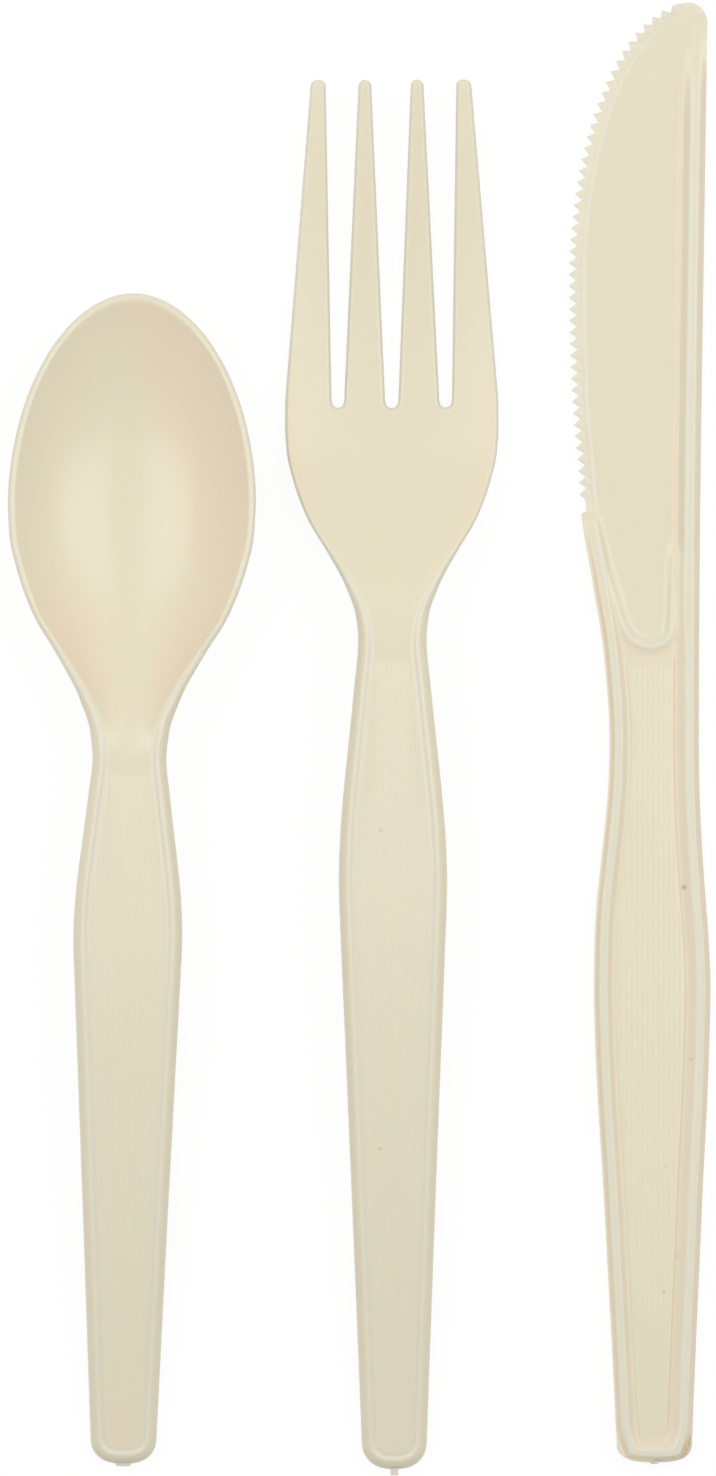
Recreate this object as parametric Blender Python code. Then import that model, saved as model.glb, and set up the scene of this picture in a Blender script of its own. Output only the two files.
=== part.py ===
"""Disposable cutlery kit: a spoon, a fork and a knife, each moulded in one piece.

Lengths are in metres. Each piece is modelled along +Y from the end of its handle at y = 0,
lying on z = 0, and is then laid beside the others with its own small lean.
"""
import math
from dataclasses import dataclass
from typing import Callable

import bmesh
import bpy
import numpy as np
from mathutils import Vector

KIT = "cutlery_kit"

# Layout of the set
SPOON_TO_FORK_GAP = 0.00377
FORK_TO_KNIFE_GAP = 0.00912
SPOON_SETBACK = 0.0007
FORK_SETBACK = 0.0
KNIFE_SETBACK = 0.0009
SPOON_LEAN = math.radians(-0.53)
FORK_LEAN = math.radians(0.14)

# Handle section shared by the spoon and the fork
HANDLE_WALL = 0.0012
PANEL_BORDER = 0.0021
GROOVE_INSET = 0.00175
GROOVE_DEPTH = 0.00012
BEAD_INSET = 0.0013
BEAD_HEIGHT = 0.00012
SHOULDER_INSET = 0.00045
SHOULDER_DROP = 0.0004
SIDE_DROP = 0.0011
FLANGE_DEPTH = 0.0026
FLANGE_WIDTH = 0.00095
FLANGE_DRAFT = 0.0003
RIB_HEIGHT = 0.00012
RIB_SINK = 0.00035
RIB_FOOT = 0.00002

# Spoon
SPOON_END_WIDTH = 0.0083
SPOON_END_ROUND = 0.0033
SPOON_GRIP_LENGTH = 0.0688
SPOON_GRIP_WIDTH = 0.01416
SPOON_SHOULDER_LENGTH = 0.0230
SPOON_NECK_WIDTH = 0.0096
SPOON_BACK_LENGTH = 0.0330
SPOON_BOWL_WIDTH = 0.03226
SPOON_FRONT_LENGTH = 0.0275
SPOON_BOWL_DEPTH = 0.0067
SPOON_BOWL_WALL = 0.0012
SPOON_NECK_HEIGHT = 0.0096
SPOON_GRIP_HEIGHT = 0.0090
SPOON_TIP_DROP = 0.0005
SPOON_RIM_ROUND = 0.0006
SPOON_RIB_PITCH = 0.00069
SPOON_RIB_START = 0.0187
SPOON_RIB_STOP = 0.0895
SPOON_GATE = (0.0019, 0.0003)

# Fork
FORK_END_WIDTH = 0.0082
FORK_END_ROUND = 0.0036
FORK_GRIP_LENGTH = 0.0766
FORK_GRIP_WIDTH = 0.0141
FORK_SHOULDER_LENGTH = 0.0314
FORK_NECK_WIDTH = 0.0089
FORK_BACK_LENGTH = 0.0279
FORK_HEAD_WIDTH = 0.0278
FORK_ROOT_DISTANCE = 0.0031
FORK_TINE_LENGTH = 0.0418
FORK_TIP_WIDTH = 0.0208
FORK_HEAD_WALL = 0.0015
FORK_NECK_HEIGHT = 0.0098
FORK_GRIP_HEIGHT = 0.0090
FORK_TIP_HEIGHT = 0.0058
FORK_DISH = 0.0009
FORK_RIM_ROUND = 0.00045
FORK_MIDDLE_SLOT = (0.00170, 0.00516)
FORK_SIDE_SLOT = (0.00162, 0.00428)
FORK_SIDE_SLOT_CENTRE = (0.00702, 0.00635)
FORK_RIB_PITCH = 0.00051
FORK_RIB_START = 0.0183
FORK_RIB_STOP = 0.1048
FORK_GATE = (0.0010, 0.0008)

# Knife
KNIFE_END_HALF_WIDTH = 0.0048
KNIFE_END_ROUND = 0.0026
KNIFE_GRIP_LENGTH = 0.0618
KNIFE_GRIP_LEFT = 0.0079
KNIFE_GRIP_RIGHT = 0.0073
KNIFE_NECK_DISTANCE = 0.0325
KNIFE_NECK_LEFT = 0.00585
KNIFE_NECK_RIGHT = 0.00578
KNIFE_HEEL_DISTANCE = 0.0292
KNIFE_HEEL_LEFT = 0.00953
KNIFE_BELLY_DISTANCE = 0.0297
KNIFE_BELLY_LEFT = 0.0112
KNIFE_FRONT_LENGTH = 0.0368
KNIFE_TIP_RIGHT = 0.0046
KNIFE_SPINE_RIGHT = 0.0069
KNIFE_TIP_CORNER = 0.0028
KNIFE_RIM_WIDTH = 0.0022
KNIFE_RIM_HALF = 0.0015
KNIFE_RIM_RISE = 0.018
KNIFE_RIM_FALL = 0.006
KNIFE_PLATE_HALF = 0.00085
KNIFE_WEB_HALF = 0.0005
KNIFE_EDGE_HALF = 0.00014
KNIFE_BEVEL_WIDTH = 0.0022
KNIFE_PAD_INSET = 0.0028
KNIFE_PAD_HALF = 0.00102
KNIFE_PAD_START = 0.0033
KNIFE_PAD_STOP = 0.1046
KNIFE_RIB_PITCH = 0.00069
KNIFE_RIB_START = 0.0176
KNIFE_RIB_STOP = 0.1035
KNIFE_LIP_WIDTH = 0.0011
KNIFE_LIP_DISTANCE = 0.0118
KNIFE_LIP_HALF = 0.00125
KNIFE_GATE = (0.0011, 0.0002)
KNIFE_FIRST_TOOTH = 0.0025
KNIFE_LAST_TOOTH = 0.0013
KNIFE_HEEL_NOTCH = 0.0007
TOOTH_PITCH = 0.00151
TOOTH_DEPTH = 0.00100
TOOTH_TRIM = 0.00003

# Shape of the widenings, as (share of the way along, share of the way out)
SHOULDER_CURVE = ((0.0, 0.0), (0.2, 0.085), (0.4, 0.29), (0.6, 0.545), (0.8, 0.79), (1.0, 1.0))
FLARE_CURVE = ((0.0, 0.0), (0.1, 0.03), (0.25, 0.18), (0.41, 0.43), (0.567, 0.70), (0.724, 0.875),
               (0.88, 0.98), (1.0, 1.0))
KNIFE_LEFT_SHOULDER_CURVE = ((0.0, 0.0), (0.167, 0.04), (0.333, 0.18), (0.5, 0.456),
                             (0.667, 0.73), (0.833, 0.94), (1.0, 1.0))
KNIFE_RIGHT_SHOULDER_CURVE = ((0.0, 0.0), (0.167, 0.12), (0.333, 0.38), (0.5, 0.64),
                              (0.667, 0.84), (0.833, 0.965), (1.0, 1.0))
HEEL_CURVE = ((0.35, 0.18), (0.7, 0.61), (1.0, 1.0))
BELLY_CURVE = ((0.24, 0.35), (0.45, 0.70), (0.7, 0.89), (1.0, 1.0))
# Curve of the knife's lip, as (share of the way across the blade, share of the way down)
LIP_CURVE = ((0.133, 0.086), (0.225, 0.368), (0.333, 0.598), (0.426, 0.805), (0.556, 0.948),
             (0.751, 1.0), (0.903, 0.966), (0.983, 0.862), (1.0, 0.649), (1.017, 0.310))
# Widening of the handles from their ends to their widest places
TAPER_CURVE = ((0.0, 0.0), (0.45, 0.447), (0.75, 0.76), (0.89, 0.907))
KNIFE_TAPER_CURVE = ((0.0, 0.0), (0.25, 0.243), (0.42, 0.43), (0.59, 0.612), (0.75, 0.815),
                     (0.84, 0.905), (0.92, 0.965))
# Share of the handle's rise that is reached half way to the grip
HALF_WAY_RISE = 0.62
# Share of the neck's height that is left where the fork's head is widest
FORK_HEAD_RISE = 0.06
# Power of the superellipse that rounds the handles' ends, the bowl's front and its section
END_POWER = 2.8
BOWL_POWER = 1.93
BOWL_SECTION_POWER = 2.3
# Least share of the wall that stands upright on a sloping face
STEEPEST_WALL = 0.62

CREAM = (0.80, 0.74, 0.56, 1.0)
CREAM_ROUGHNESS = 0.42


def smooth_curve(stations) -> Callable[[float], float]:
    """Return a smooth function through (place, value) stations that never overshoots them."""
    places, values = (np.array(column, float) for column in zip(*stations))
    steps = np.diff(places)
    rises = np.diff(values) / steps
    slopes = np.concatenate(([rises[0]], np.zeros(len(rises) - 1), [rises[-1]]))
    for i in range(1, len(rises)):
        if rises[i - 1] * rises[i] > 0:
            before = 2 * steps[i] + steps[i - 1]
            after = steps[i] + 2 * steps[i - 1]
            slopes[i] = (before + after) / (before / rises[i - 1] + after / rises[i])

    def value(place):
        i = int(np.clip(np.searchsorted(places, place) - 1, 0, len(steps) - 1))
        t = min(max((place - places[i]) / steps[i], 0.0), 1.0)
        rising = (3 - 2 * t) * t * t
        lift = slopes[i] * t * (1 - t) ** 2 - slopes[i + 1] * t * t * (1 - t)
        return float(values[i] * (1 - rising) + values[i + 1] * rising + steps[i] * lift)

    return value


def between(start, stop, share):
    """Value a share of the way from start to stop."""
    return start + (stop - start) * share


def along(curve, start, stop, low, high):
    """Stations of a widening curve stretched from (start, low) to (stop, high)."""
    return [(between(start, stop, t), between(low, high, share)) for t, share in curve]


def round_end(u, t, power):
    """Place a point of the half square (-1..1, 0..1) in a half superellipse of unit size."""
    x = u * math.sqrt(1 - t * t / 2)
    y = t * math.sqrt(1 - u * u / 2)
    reach = math.hypot(x, y)
    if reach < 1e-9:
        return 0.0, 0.0
    swell = ((abs(x) / reach) ** power + (y / reach) ** power) ** (-1 / power)
    return x * swell, y * swell


@dataclass
class Plan:
    """Shape of a spoon or a fork as seen from above, and the height of its top face."""

    half_width: Callable[[float], float]
    height: Callable[[float], float]
    head_share: Callable[[float], float]
    end_round: float
    rim_round: float
    head_wall: float

    def border(self, y):
        """Width of the moulded border between the outline and the panel."""
        return between(PANEL_BORDER, self.rim_round, self.head_share(y))

    def wall(self, y):
        """Thickness of the panel."""
        return between(HANDLE_WALL, self.head_wall, self.head_share(y))

    def panel_half_width(self, y):
        """Half-width of the panel inside the border."""
        step = 0.0005
        slope = (self.half_width(y + step) - self.half_width(y - step)) / (2 * step)
        return self.half_width(y) - self.border(y) * math.hypot(1, slope)

    def handle_end(self, u, v):
        """Place of a panel point in the round end of the handle."""
        x, y = round_end(u, (self.end_round - v) / self.end_round, END_POWER)
        y = self.end_round - y * (self.end_round - PANEL_BORDER)
        return x * (self.half_width(y) - PANEL_BORDER), y


def border_section(plan, y):
    """Points round the edge at y, as (distance in from the outline, height over the panel)."""
    wall = plan.wall(y)
    handle = (
        (GROOVE_INSET, -GROOVE_DEPTH),
        (BEAD_INSET, BEAD_HEIGHT),
        (SHOULDER_INSET, -SHOULDER_DROP),
        (0.0, -SIDE_DROP),
        (0.0, -FLANGE_DEPTH),
        (FLANGE_WIDTH, -FLANGE_DEPTH),
        (FLANGE_WIDTH + FLANGE_DRAFT, -wall - BEAD_HEIGHT),
    )
    turns = [math.radians(angle) for angle in (80, 55, 30, 5, -25, -55, -80)]
    head = [(plan.rim_round * (1 - math.cos(a)), wall / 2 * (math.sin(a) - 1)) for a in turns]
    share = plan.head_share(y)
    return [
        (between(a[0], b[0], share), between(a[1], b[1], share)) for a, b in zip(handle, head)
    ]


def boundary_loop(bm):
    """Vertices round the open edge of a sheet, in order."""
    edges = {edge for edge in bm.edges if edge.is_boundary}
    first = min(edges, key=lambda edge: edge.index)
    loop = list(first.link_loops[0].edge.verts)
    edges.discard(first)
    while edges:
        step = next(edge for edge in loop[-1].link_edges if edge in edges)
        edges.discard(step)
        loop.append(step.other_vert(loop[-1]))
    return loop[:-1]


def outward_normals(loop):
    """Directions in the XY plane that point away from the sheet inside a closed loop."""
    points = np.array([vertex.co[:2] for vertex in loop])
    ahead = np.roll(points, -1, axis=0) - points
    behind = points - np.roll(points, 1, axis=0)
    ahead /= np.linalg.norm(ahead, axis=1)[:, None]
    behind /= np.linalg.norm(behind, axis=1)[:, None]
    tangents = ahead + behind
    tangents /= np.linalg.norm(tangents, axis=1)[:, None]
    following = np.roll(points, -1, axis=0)
    area = float(np.sum(points[:, 0] * following[:, 1] - following[:, 0] * points[:, 1]))
    turn = 1.0 if area > 0 else -1.0
    return [Vector((turn * y, -turn * x, 0.0)) for x, y in tangents]


def extrude_loop(bm, loop):
    """Extrude a closed loop of vertices in place, and return the new loop in the same order."""
    pairs = zip(loop, loop[1:] + loop[:1])
    edges = [bm.edges.get(pair) for pair in pairs]
    made = bmesh.ops.extrude_edge_only(bm, edges=edges)["geom"]
    fresh = {item for item in made if isinstance(item, bmesh.types.BMVert)}
    others = [[edge.other_vert(vertex) for edge in vertex.link_edges] for vertex in loop]
    return [next(vertex for vertex in found if vertex in fresh) for found in others]


def grow_border(bm, plan, loop, underside):
    """Sweep the border section round the panel, over the edge and back to the underside."""
    anchors = [vertex.co.copy() for vertex in loop]
    normals = outward_normals(loop)
    sections = [border_section(plan, anchor.y) for anchor in anchors]
    ring = loop
    for place in range(len(sections[0])):
        ring = extrude_loop(bm, ring)
        for vertex, anchor, normal, section in zip(ring, anchors, normals, sections):
            inset, rise = section[place]
            vertex.co = anchor + normal * (plan.border(anchor.y) - inset)
            vertex.co.z = anchor.z + rise
    ring = extrude_loop(bm, ring)
    bmesh.ops.weld_verts(bm, targetmap=dict(zip(ring, underside)))


def shell_mesh(name, plan, columns, rows, place, is_open):
    """Thin moulded shell: a sheet moved by a formula, its border, and its underside.

    place turns a column and a row into a point of the top face, and is_open says which
    cells of the sheet are left out.
    """
    bm = bmesh.new()
    across = len(columns) - 1
    count = len(rows) - 1
    bmesh.ops.create_grid(bm, x_segments=across, y_segments=count, size=1.0)
    for face in [f for f in bm.faces if is_open(*cell_of(f.calc_center_median(), across, count))]:
        bm.faces.remove(face)
    bmesh.ops.delete(bm, geom=[e for e in bm.edges if not e.link_faces], context="EDGES")
    bmesh.ops.delete(bm, geom=[v for v in bm.verts if not v.link_faces], context="VERTS")
    for vertex in bm.verts:
        column = round((vertex.co.x + 1) / 2 * across)
        row = round((vertex.co.y + 1) / 2 * count)
        vertex.co = place(column, row)
    bm.normal_update()
    bm.edges.index_update()
    top = boundary_loop(bm)
    sheet = list(bm.verts) + list(bm.edges) + list(bm.faces)
    copied = bmesh.ops.duplicate(bm, geom=sheet)
    for vertex in [item for item in sheet if isinstance(item, bmesh.types.BMVert)]:
        upright = max(abs(vertex.normal.z), STEEPEST_WALL)
        copied["vert_map"][vertex].co.z = vertex.co.z - plan.wall(vertex.co.y) / upright
    grow_border(bm, plan, top, [copied["vert_map"][vertex] for vertex in top])
    bmesh.ops.recalc_face_normals(bm, faces=bm.faces)
    return finish_mesh(bm, name)


def cell_of(centre, across, count):
    """Column and row of a cell of the unit grid."""
    return int((centre.x + 1) / 2 * across), int((centre.y + 1) / 2 * count)


def finish_mesh(bm, name):
    """Turn a bmesh into a mesh, shaded smooth with its clear corners kept sharp."""
    mesh = bpy.data.meshes.new(name)
    bm.to_mesh(mesh)
    bm.free()
    mesh.shade_smooth()
    mesh.set_sharp_from_angle(angle=math.radians(40))
    return mesh


def cream_plastic(name):
    """Satin cream plastic."""
    material = bpy.data.materials.new(name)
    material.use_nodes = True
    shader = material.node_tree.nodes["Principled BSDF"]
    shader.inputs["Base Color"].default_value = CREAM
    shader.inputs["Roughness"].default_value = CREAM_ROUGHNESS
    shader.inputs["Metallic"].default_value = 0.0
    return material


def add_piece(name, mesh):
    """Add one piece of the set with a material of its own."""
    piece = bpy.data.objects.new(name, mesh)
    mesh.materials.append(cream_plastic(name + "_plastic"))
    bpy.data.collections[KIT].objects.link(piece)
    return piece


def add_tool(name, mesh, piece):
    """Add a shape that is joined to or cut from a piece, and that moves with it."""
    tool = bpy.data.objects.new(name, mesh)
    tool.parent = piece
    tool.hide_render = True
    tool.display_type = "WIRE"
    bpy.data.collections[KIT + "_cutters"].objects.link(tool)
    return tool


def combine(target, tool, operation):
    """Join a tool to a target, cut it away or keep what both share."""
    modifier = target.modifiers.new(operation.lower() + "_" + tool.name, "BOOLEAN")
    modifier.operation = operation
    modifier.solver = "EXACT"
    modifier.object = tool


def prism_mesh(name, outline, low, high):
    """Upright prism over a closed outline in the XY plane."""
    bm = bmesh.new()
    base = bm.faces.new([bm.verts.new((x, y, low)) for x, y in outline])
    top = bmesh.ops.extrude_face_region(bm, geom=[base])["geom"]
    for vertex in [item for item in top if isinstance(item, bmesh.types.BMVert)]:
        vertex.co.z = high
    bmesh.ops.recalc_face_normals(bm, faces=bm.faces)
    return finish_mesh(bm, name)


def ribbed_mesh(name, pitch, half_width, rows, top, bottom, both_sides=False):
    """Slab with straight ribs along Y; top and bottom give its faces' heights at y."""
    reach = math.ceil(half_width / pitch)
    across = 4 * reach
    bm = bmesh.new()
    bmesh.ops.create_grid(bm, x_segments=across, y_segments=len(rows) - 1, size=1.0)
    upper = list(bm.verts)
    faces = list(bm.faces)
    lower = bmesh.ops.extrude_face_region(bm, geom=faces)["geom"]
    lower = [item for item in lower if isinstance(item, bmesh.types.BMVert)]
    for group, level, sign in ((upper, top, 1), (lower, bottom, -1)):
        for vertex in group:
            column = round((vertex.co.x + 1) / 2 * across)
            y = float(rows[round((vertex.co.y + 1) / 2 * (len(rows) - 1))])
            ribbed = sign > 0 or both_sides
            rise = RIB_HEIGHT * sign if column % 2 and ribbed else 0.0
            vertex.co = Vector(((column / across - 0.5) * 2 * reach * pitch, y, level(y) + rise))
    bmesh.ops.recalc_face_normals(bm, faces=bm.faces)
    return finish_mesh(bm, name)


def add_handle_ribs(piece, plan, pitch, start, stop):
    """Join a panel of straight ribs, cut to the shape of the handle's panel, to a piece."""
    rows = np.linspace(start, stop, 11)
    widest = max(plan.panel_half_width(float(y)) for y in rows)
    slab = ribbed_mesh(
        piece.name + "_ribs", pitch, widest, rows,
        lambda y: plan.height(y) + RIB_FOOT, lambda y: plan.height(y) - RIB_SINK,
    )
    sides = [(plan.panel_half_width(float(y)), float(y)) for y in rows]
    outline = sides + [(-x, y) for x, y in reversed(sides)]
    ribs = add_tool(piece.name + "_ribs", slab, piece)
    panel = prism_mesh(piece.name + "_panel", outline, -0.01, 0.03)
    combine(ribs, add_tool(piece.name + "_panel", panel, piece), "INTERSECT")
    combine(piece, ribs, "UNION")


def add_gate(piece, size, middle, thickness):
    """Join the small stub that is left where the moulding was fed, at the handle's end."""
    width, reach = size
    overlap = 0.0006
    bm = bmesh.new()
    bmesh.ops.create_cube(bm, size=1.0)
    bmesh.ops.scale(bm, vec=(width, reach + overlap, thickness), verts=bm.verts)
    bmesh.ops.translate(bm, vec=(0.0, (overlap - reach) / 2, middle), verts=bm.verts)
    combine(piece, add_tool(piece.name + "_gate", finish_mesh(bm, "gate"), piece), "UNION")


def build_spoon():
    """Spoon: an oval bowl on a channel-section handle with a ribbed panel."""
    neck = SPOON_GRIP_LENGTH + SPOON_SHOULDER_LENGTH
    widest = neck + SPOON_BACK_LENGTH
    tip = widest + SPOON_FRONT_LENGTH
    half_neck = SPOON_NECK_WIDTH / 2
    half_bowl = SPOON_BOWL_WIDTH / 2
    half_width = smooth_curve(
        along(TAPER_CURVE, 0.0, SPOON_GRIP_LENGTH, SPOON_END_WIDTH / 2, SPOON_GRIP_WIDTH / 2)
        + along(SHOULDER_CURVE, SPOON_GRIP_LENGTH, neck, SPOON_GRIP_WIDTH / 2, half_neck)
        + along(FLARE_CURVE, neck, widest, half_neck, half_bowl)[1:]
    )
    rim_height = SPOON_BOWL_DEPTH + SPOON_BOWL_WALL
    height = smooth_curve((
        (0.0, FLANGE_DEPTH),
        (SPOON_GRIP_LENGTH / 2, between(FLANGE_DEPTH, SPOON_GRIP_HEIGHT, HALF_WAY_RISE)),
        (SPOON_GRIP_LENGTH, SPOON_GRIP_HEIGHT),
        (neck, SPOON_NECK_HEIGHT),
        (widest, rim_height),
        (tip, rim_height - SPOON_TIP_DROP),
    ))
    head_start = neck + SPOON_BACK_LENGTH * 0.54
    head_share = smooth_curve(((0.0, 0.0), (neck, 0.0), (head_start, 1.0), (tip, 1.0)))
    plan = Plan(half_width, height, head_share, SPOON_END_ROUND, SPOON_RIM_ROUND, SPOON_BOWL_WALL)

    columns = np.linspace(-1, 1, 13)
    rows = np.concatenate((
        np.linspace(0, SPOON_END_ROUND, 4)[:-1],
        np.linspace(SPOON_END_ROUND, SPOON_GRIP_LENGTH, 9)[:-1],
        np.linspace(SPOON_GRIP_LENGTH, neck, 6)[:-1],
        np.linspace(neck, widest, 10)[:-1],
        np.linspace(widest, tip, 7),
    ))

    def bowl_depth(u, v):
        if v < neck:
            return 0.0
        if v <= widest:
            fade = (1 - ((widest - v) / SPOON_BACK_LENGTH) ** 2.2) ** 1.5
            return SPOON_BOWL_DEPTH * fade * (1 - abs(u) ** BOWL_SECTION_POWER)
        t = (v - widest) / SPOON_FRONT_LENGTH
        reach = math.hypot(u * math.sqrt(1 - t * t / 2), t * math.sqrt(1 - u * u / 2))
        return SPOON_BOWL_DEPTH * (1 - min(reach, 1.0) ** BOWL_SECTION_POWER)

    def place(column, row):
        u, v = float(columns[column]), float(rows[row])
        if v < SPOON_END_ROUND:
            x, y = plan.handle_end(u, v)
        elif v <= widest:
            x, y = u * plan.panel_half_width(v), v
        else:
            x, y = round_end(u, (v - widest) / SPOON_FRONT_LENGTH, BOWL_POWER)
            x *= half_bowl - SPOON_RIM_ROUND
            y = widest + y * (SPOON_FRONT_LENGTH - SPOON_RIM_ROUND)
        return Vector((x, y, height(y) - bowl_depth(u, v)))

    spoon = add_piece("spoon", shell_mesh("spoon", plan, columns, rows, place, lambda *cell: False))
    add_handle_ribs(spoon, plan, SPOON_RIB_PITCH, SPOON_RIB_START, SPOON_RIB_STOP)
    add_gate(spoon, SPOON_GATE, FLANGE_DEPTH / 2, FLANGE_DEPTH / 2)
    return spoon


def build_fork():
    """Fork: four tapering tines on a shallow head, and a handle like the spoon's."""
    neck = FORK_GRIP_LENGTH + FORK_SHOULDER_LENGTH
    widest = neck + FORK_BACK_LENGTH
    root = widest + FORK_ROOT_DISTANCE
    tip = root + FORK_TINE_LENGTH
    half_neck = FORK_NECK_WIDTH / 2
    half_head = FORK_HEAD_WIDTH / 2
    half_width = smooth_curve(
        along(TAPER_CURVE, 0.0, FORK_GRIP_LENGTH, FORK_END_WIDTH / 2, FORK_GRIP_WIDTH / 2)
        + along(SHOULDER_CURVE, FORK_GRIP_LENGTH, neck, FORK_GRIP_WIDTH / 2, half_neck)
        + along(FLARE_CURVE, neck, widest, half_neck, half_head)[1:]
        + [(tip, FORK_TIP_WIDTH / 2)]
    )
    height = smooth_curve((
        (0.0, FLANGE_DEPTH),
        (FORK_GRIP_LENGTH / 2, between(FLANGE_DEPTH, FORK_GRIP_HEIGHT, HALF_WAY_RISE)),
        (FORK_GRIP_LENGTH, FORK_GRIP_HEIGHT),
        (neck, FORK_NECK_HEIGHT),
        (widest, between(FORK_HEAD_WALL, FORK_NECK_HEIGHT, FORK_HEAD_RISE)),
        (root + FORK_TINE_LENGTH / 8, FORK_HEAD_WALL),
        (tip, FORK_TIP_HEIGHT),
    ))
    head_start = neck + FORK_BACK_LENGTH * 0.47
    head_share = smooth_curve(((0.0, 0.0), (neck, 0.0), (head_start, 1.0), (tip, 1.0)))
    plan = Plan(half_width, height, head_share, FORK_END_ROUND, FORK_RIM_ROUND, FORK_HEAD_WALL)

    edges, slot_cells = fork_columns()
    rows = np.concatenate((
        np.linspace(0, FORK_END_ROUND, 4)[:-1],
        np.linspace(FORK_END_ROUND, FORK_GRIP_LENGTH, 9)[:-1],
        np.linspace(FORK_GRIP_LENGTH, neck, 6)[:-1],
        np.linspace(neck, widest, 8)[:-1],
        np.linspace(widest, root, 2)[:-1],
        np.linspace(root, tip - FORK_RIM_ROUND, 9),
    ))
    root_row = int(np.argmin(abs(rows - root)))
    half_root = plan.panel_half_width(root)

    def place(column, row):
        v = float(rows[row])
        at_root, at_tip, slot_middle, slot_radius = edges[column]
        u = at_root / edges[-1][0]
        if v < FORK_END_ROUND:
            x, y = plan.handle_end(u, v)
        elif v < root:
            x, y = u * plan.panel_half_width(v), v
        else:
            x, y = between(at_root, at_tip, (v - root) / FORK_TINE_LENGTH), v
        if row == root_row and slot_radius:
            y -= math.sqrt(max(slot_radius ** 2 - (at_root - slot_middle) ** 2, 0.0))
        rise = FORK_DISH * (x / half_root) ** 2 * plan.head_share(y)
        return Vector((x, y, height(y) + rise))

    fork = add_piece("fork", shell_mesh(
        "fork", plan, range(len(edges)), rows, place,
        lambda column, row: row >= root_row and column in slot_cells,
    ))
    add_handle_ribs(fork, plan, FORK_RIB_PITCH, FORK_RIB_START, FORK_RIB_STOP)
    add_gate(fork, FORK_GATE, FLANGE_DEPTH / 2, FLANGE_DEPTH / 2)
    return fork


def fork_columns():
    """Column lines of the fork's sheet, and the cells between them that are slots.

    Each line is (x at the slots' roots, x at the tips, middle and radius of its slot), and
    the lines lie a rim's width outside each slot's own edges.
    """
    slot_steps = 3
    side_root = FORK_HEAD_WIDTH / 2 - FORK_RIM_ROUND
    side_tip = FORK_TIP_WIDTH / 2 - FORK_RIM_ROUND
    lines = [(-side_root, -side_tip, 0.0, 0.0)]
    slot_cells = set()
    centre_root, centre_tip = FORK_SIDE_SLOT_CENTRE
    slots = (
        (-centre_root, -centre_tip, FORK_SIDE_SLOT),
        (0.0, 0.0, FORK_MIDDLE_SLOT),
        (centre_root, centre_tip, FORK_SIDE_SLOT),
    )
    for at_root, at_tip, (root_width, tip_width) in slots:
        half_root = root_width / 2 + FORK_RIM_ROUND
        half_tip = tip_width / 2 + FORK_RIM_ROUND
        slot_cells.update(range(len(lines), len(lines) + slot_steps))
        for step in range(slot_steps + 1):
            share = 2 * step / slot_steps - 1
            radius = half_root if abs(share) < 1 else 0.0
            lines.append((at_root + share * half_root, at_tip + share * half_tip, at_root, radius))
    lines.append((side_root, side_tip, 0.0, 0.0))
    return lines, slot_cells


@dataclass
class KnifePlan:
    """Outline of the knife: its left and right edges, and where its parts begin."""

    left: Callable[[float], float]
    right: Callable[[float], float]
    neck: float
    heel: float
    belly: float
    tip: float

    def end_share(self, y):
        """How much of the full width is there at y, near the round end of the handle."""
        t = min(max(1 - y / KNIFE_END_ROUND, 0.0), 1.0)
        return (1 - t ** END_POWER) ** (1 / END_POWER)


def knife_plan():
    """Work out the knife's outline from its sizes."""
    neck = KNIFE_GRIP_LENGTH + KNIFE_NECK_DISTANCE
    heel = neck + KNIFE_HEEL_DISTANCE
    belly = heel + KNIFE_BELLY_DISTANCE
    tip = belly + KNIFE_FRONT_LENGTH
    shoulder = (KNIFE_GRIP_LENGTH, neck)
    grip = (0.0, KNIFE_GRIP_LENGTH, KNIFE_END_HALF_WIDTH)
    left_edge = smooth_curve(
        along(KNIFE_TAPER_CURVE, *grip, KNIFE_GRIP_LEFT)
        + along(KNIFE_LEFT_SHOULDER_CURVE, *shoulder, KNIFE_GRIP_LEFT, KNIFE_NECK_LEFT)
        + along(HEEL_CURVE, neck, heel, KNIFE_NECK_LEFT, KNIFE_HEEL_LEFT)
        + along(BELLY_CURVE, heel, belly, KNIFE_HEEL_LEFT, KNIFE_BELLY_LEFT)
    )
    right_edge = smooth_curve(
        along(KNIFE_TAPER_CURVE, *grip, KNIFE_GRIP_RIGHT)
        + along(KNIFE_RIGHT_SHOULDER_CURVE, *shoulder, KNIFE_GRIP_RIGHT, KNIFE_NECK_RIGHT)
        + [(tip, KNIFE_SPINE_RIGHT)]
    )

    def left(y):
        if y <= belly:
            return -left_edge(y)
        t = min((y - belly) / KNIFE_FRONT_LENGTH, 1.0)
        return KNIFE_TIP_RIGHT - (KNIFE_TIP_RIGHT + KNIFE_BELLY_LEFT) * math.sqrt(1 - t * t)

    def right(y):
        t = min(max(1 - (tip - y) / KNIFE_TIP_CORNER, 0.0), 1.0)
        return between(KNIFE_TIP_RIGHT, right_edge(y), math.sqrt(1 - t * t))

    return KnifePlan(left, right, neck, heel, belly, tip)


def knife_rows(plan):
    """Places along the knife where its web has a row, close together in its round ends."""
    end_turns = np.radians((8, 26, 46, 68))
    front_turns = np.radians((12, 24, 36, 47, 57, 66, 74, 81, 86, 89))
    return np.concatenate((
        KNIFE_END_ROUND * (1 - np.cos(end_turns)),
        np.linspace(KNIFE_END_ROUND, KNIFE_GRIP_LENGTH, 7)[:-1],
        np.linspace(KNIFE_GRIP_LENGTH, plan.neck, 6)[:-1],
        np.linspace(plan.neck, plan.heel, 5)[:-1],
        np.linspace(plan.heel, plan.belly, 5),
        plan.belly + KNIFE_FRONT_LENGTH * np.sin(front_turns),
    ))


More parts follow.
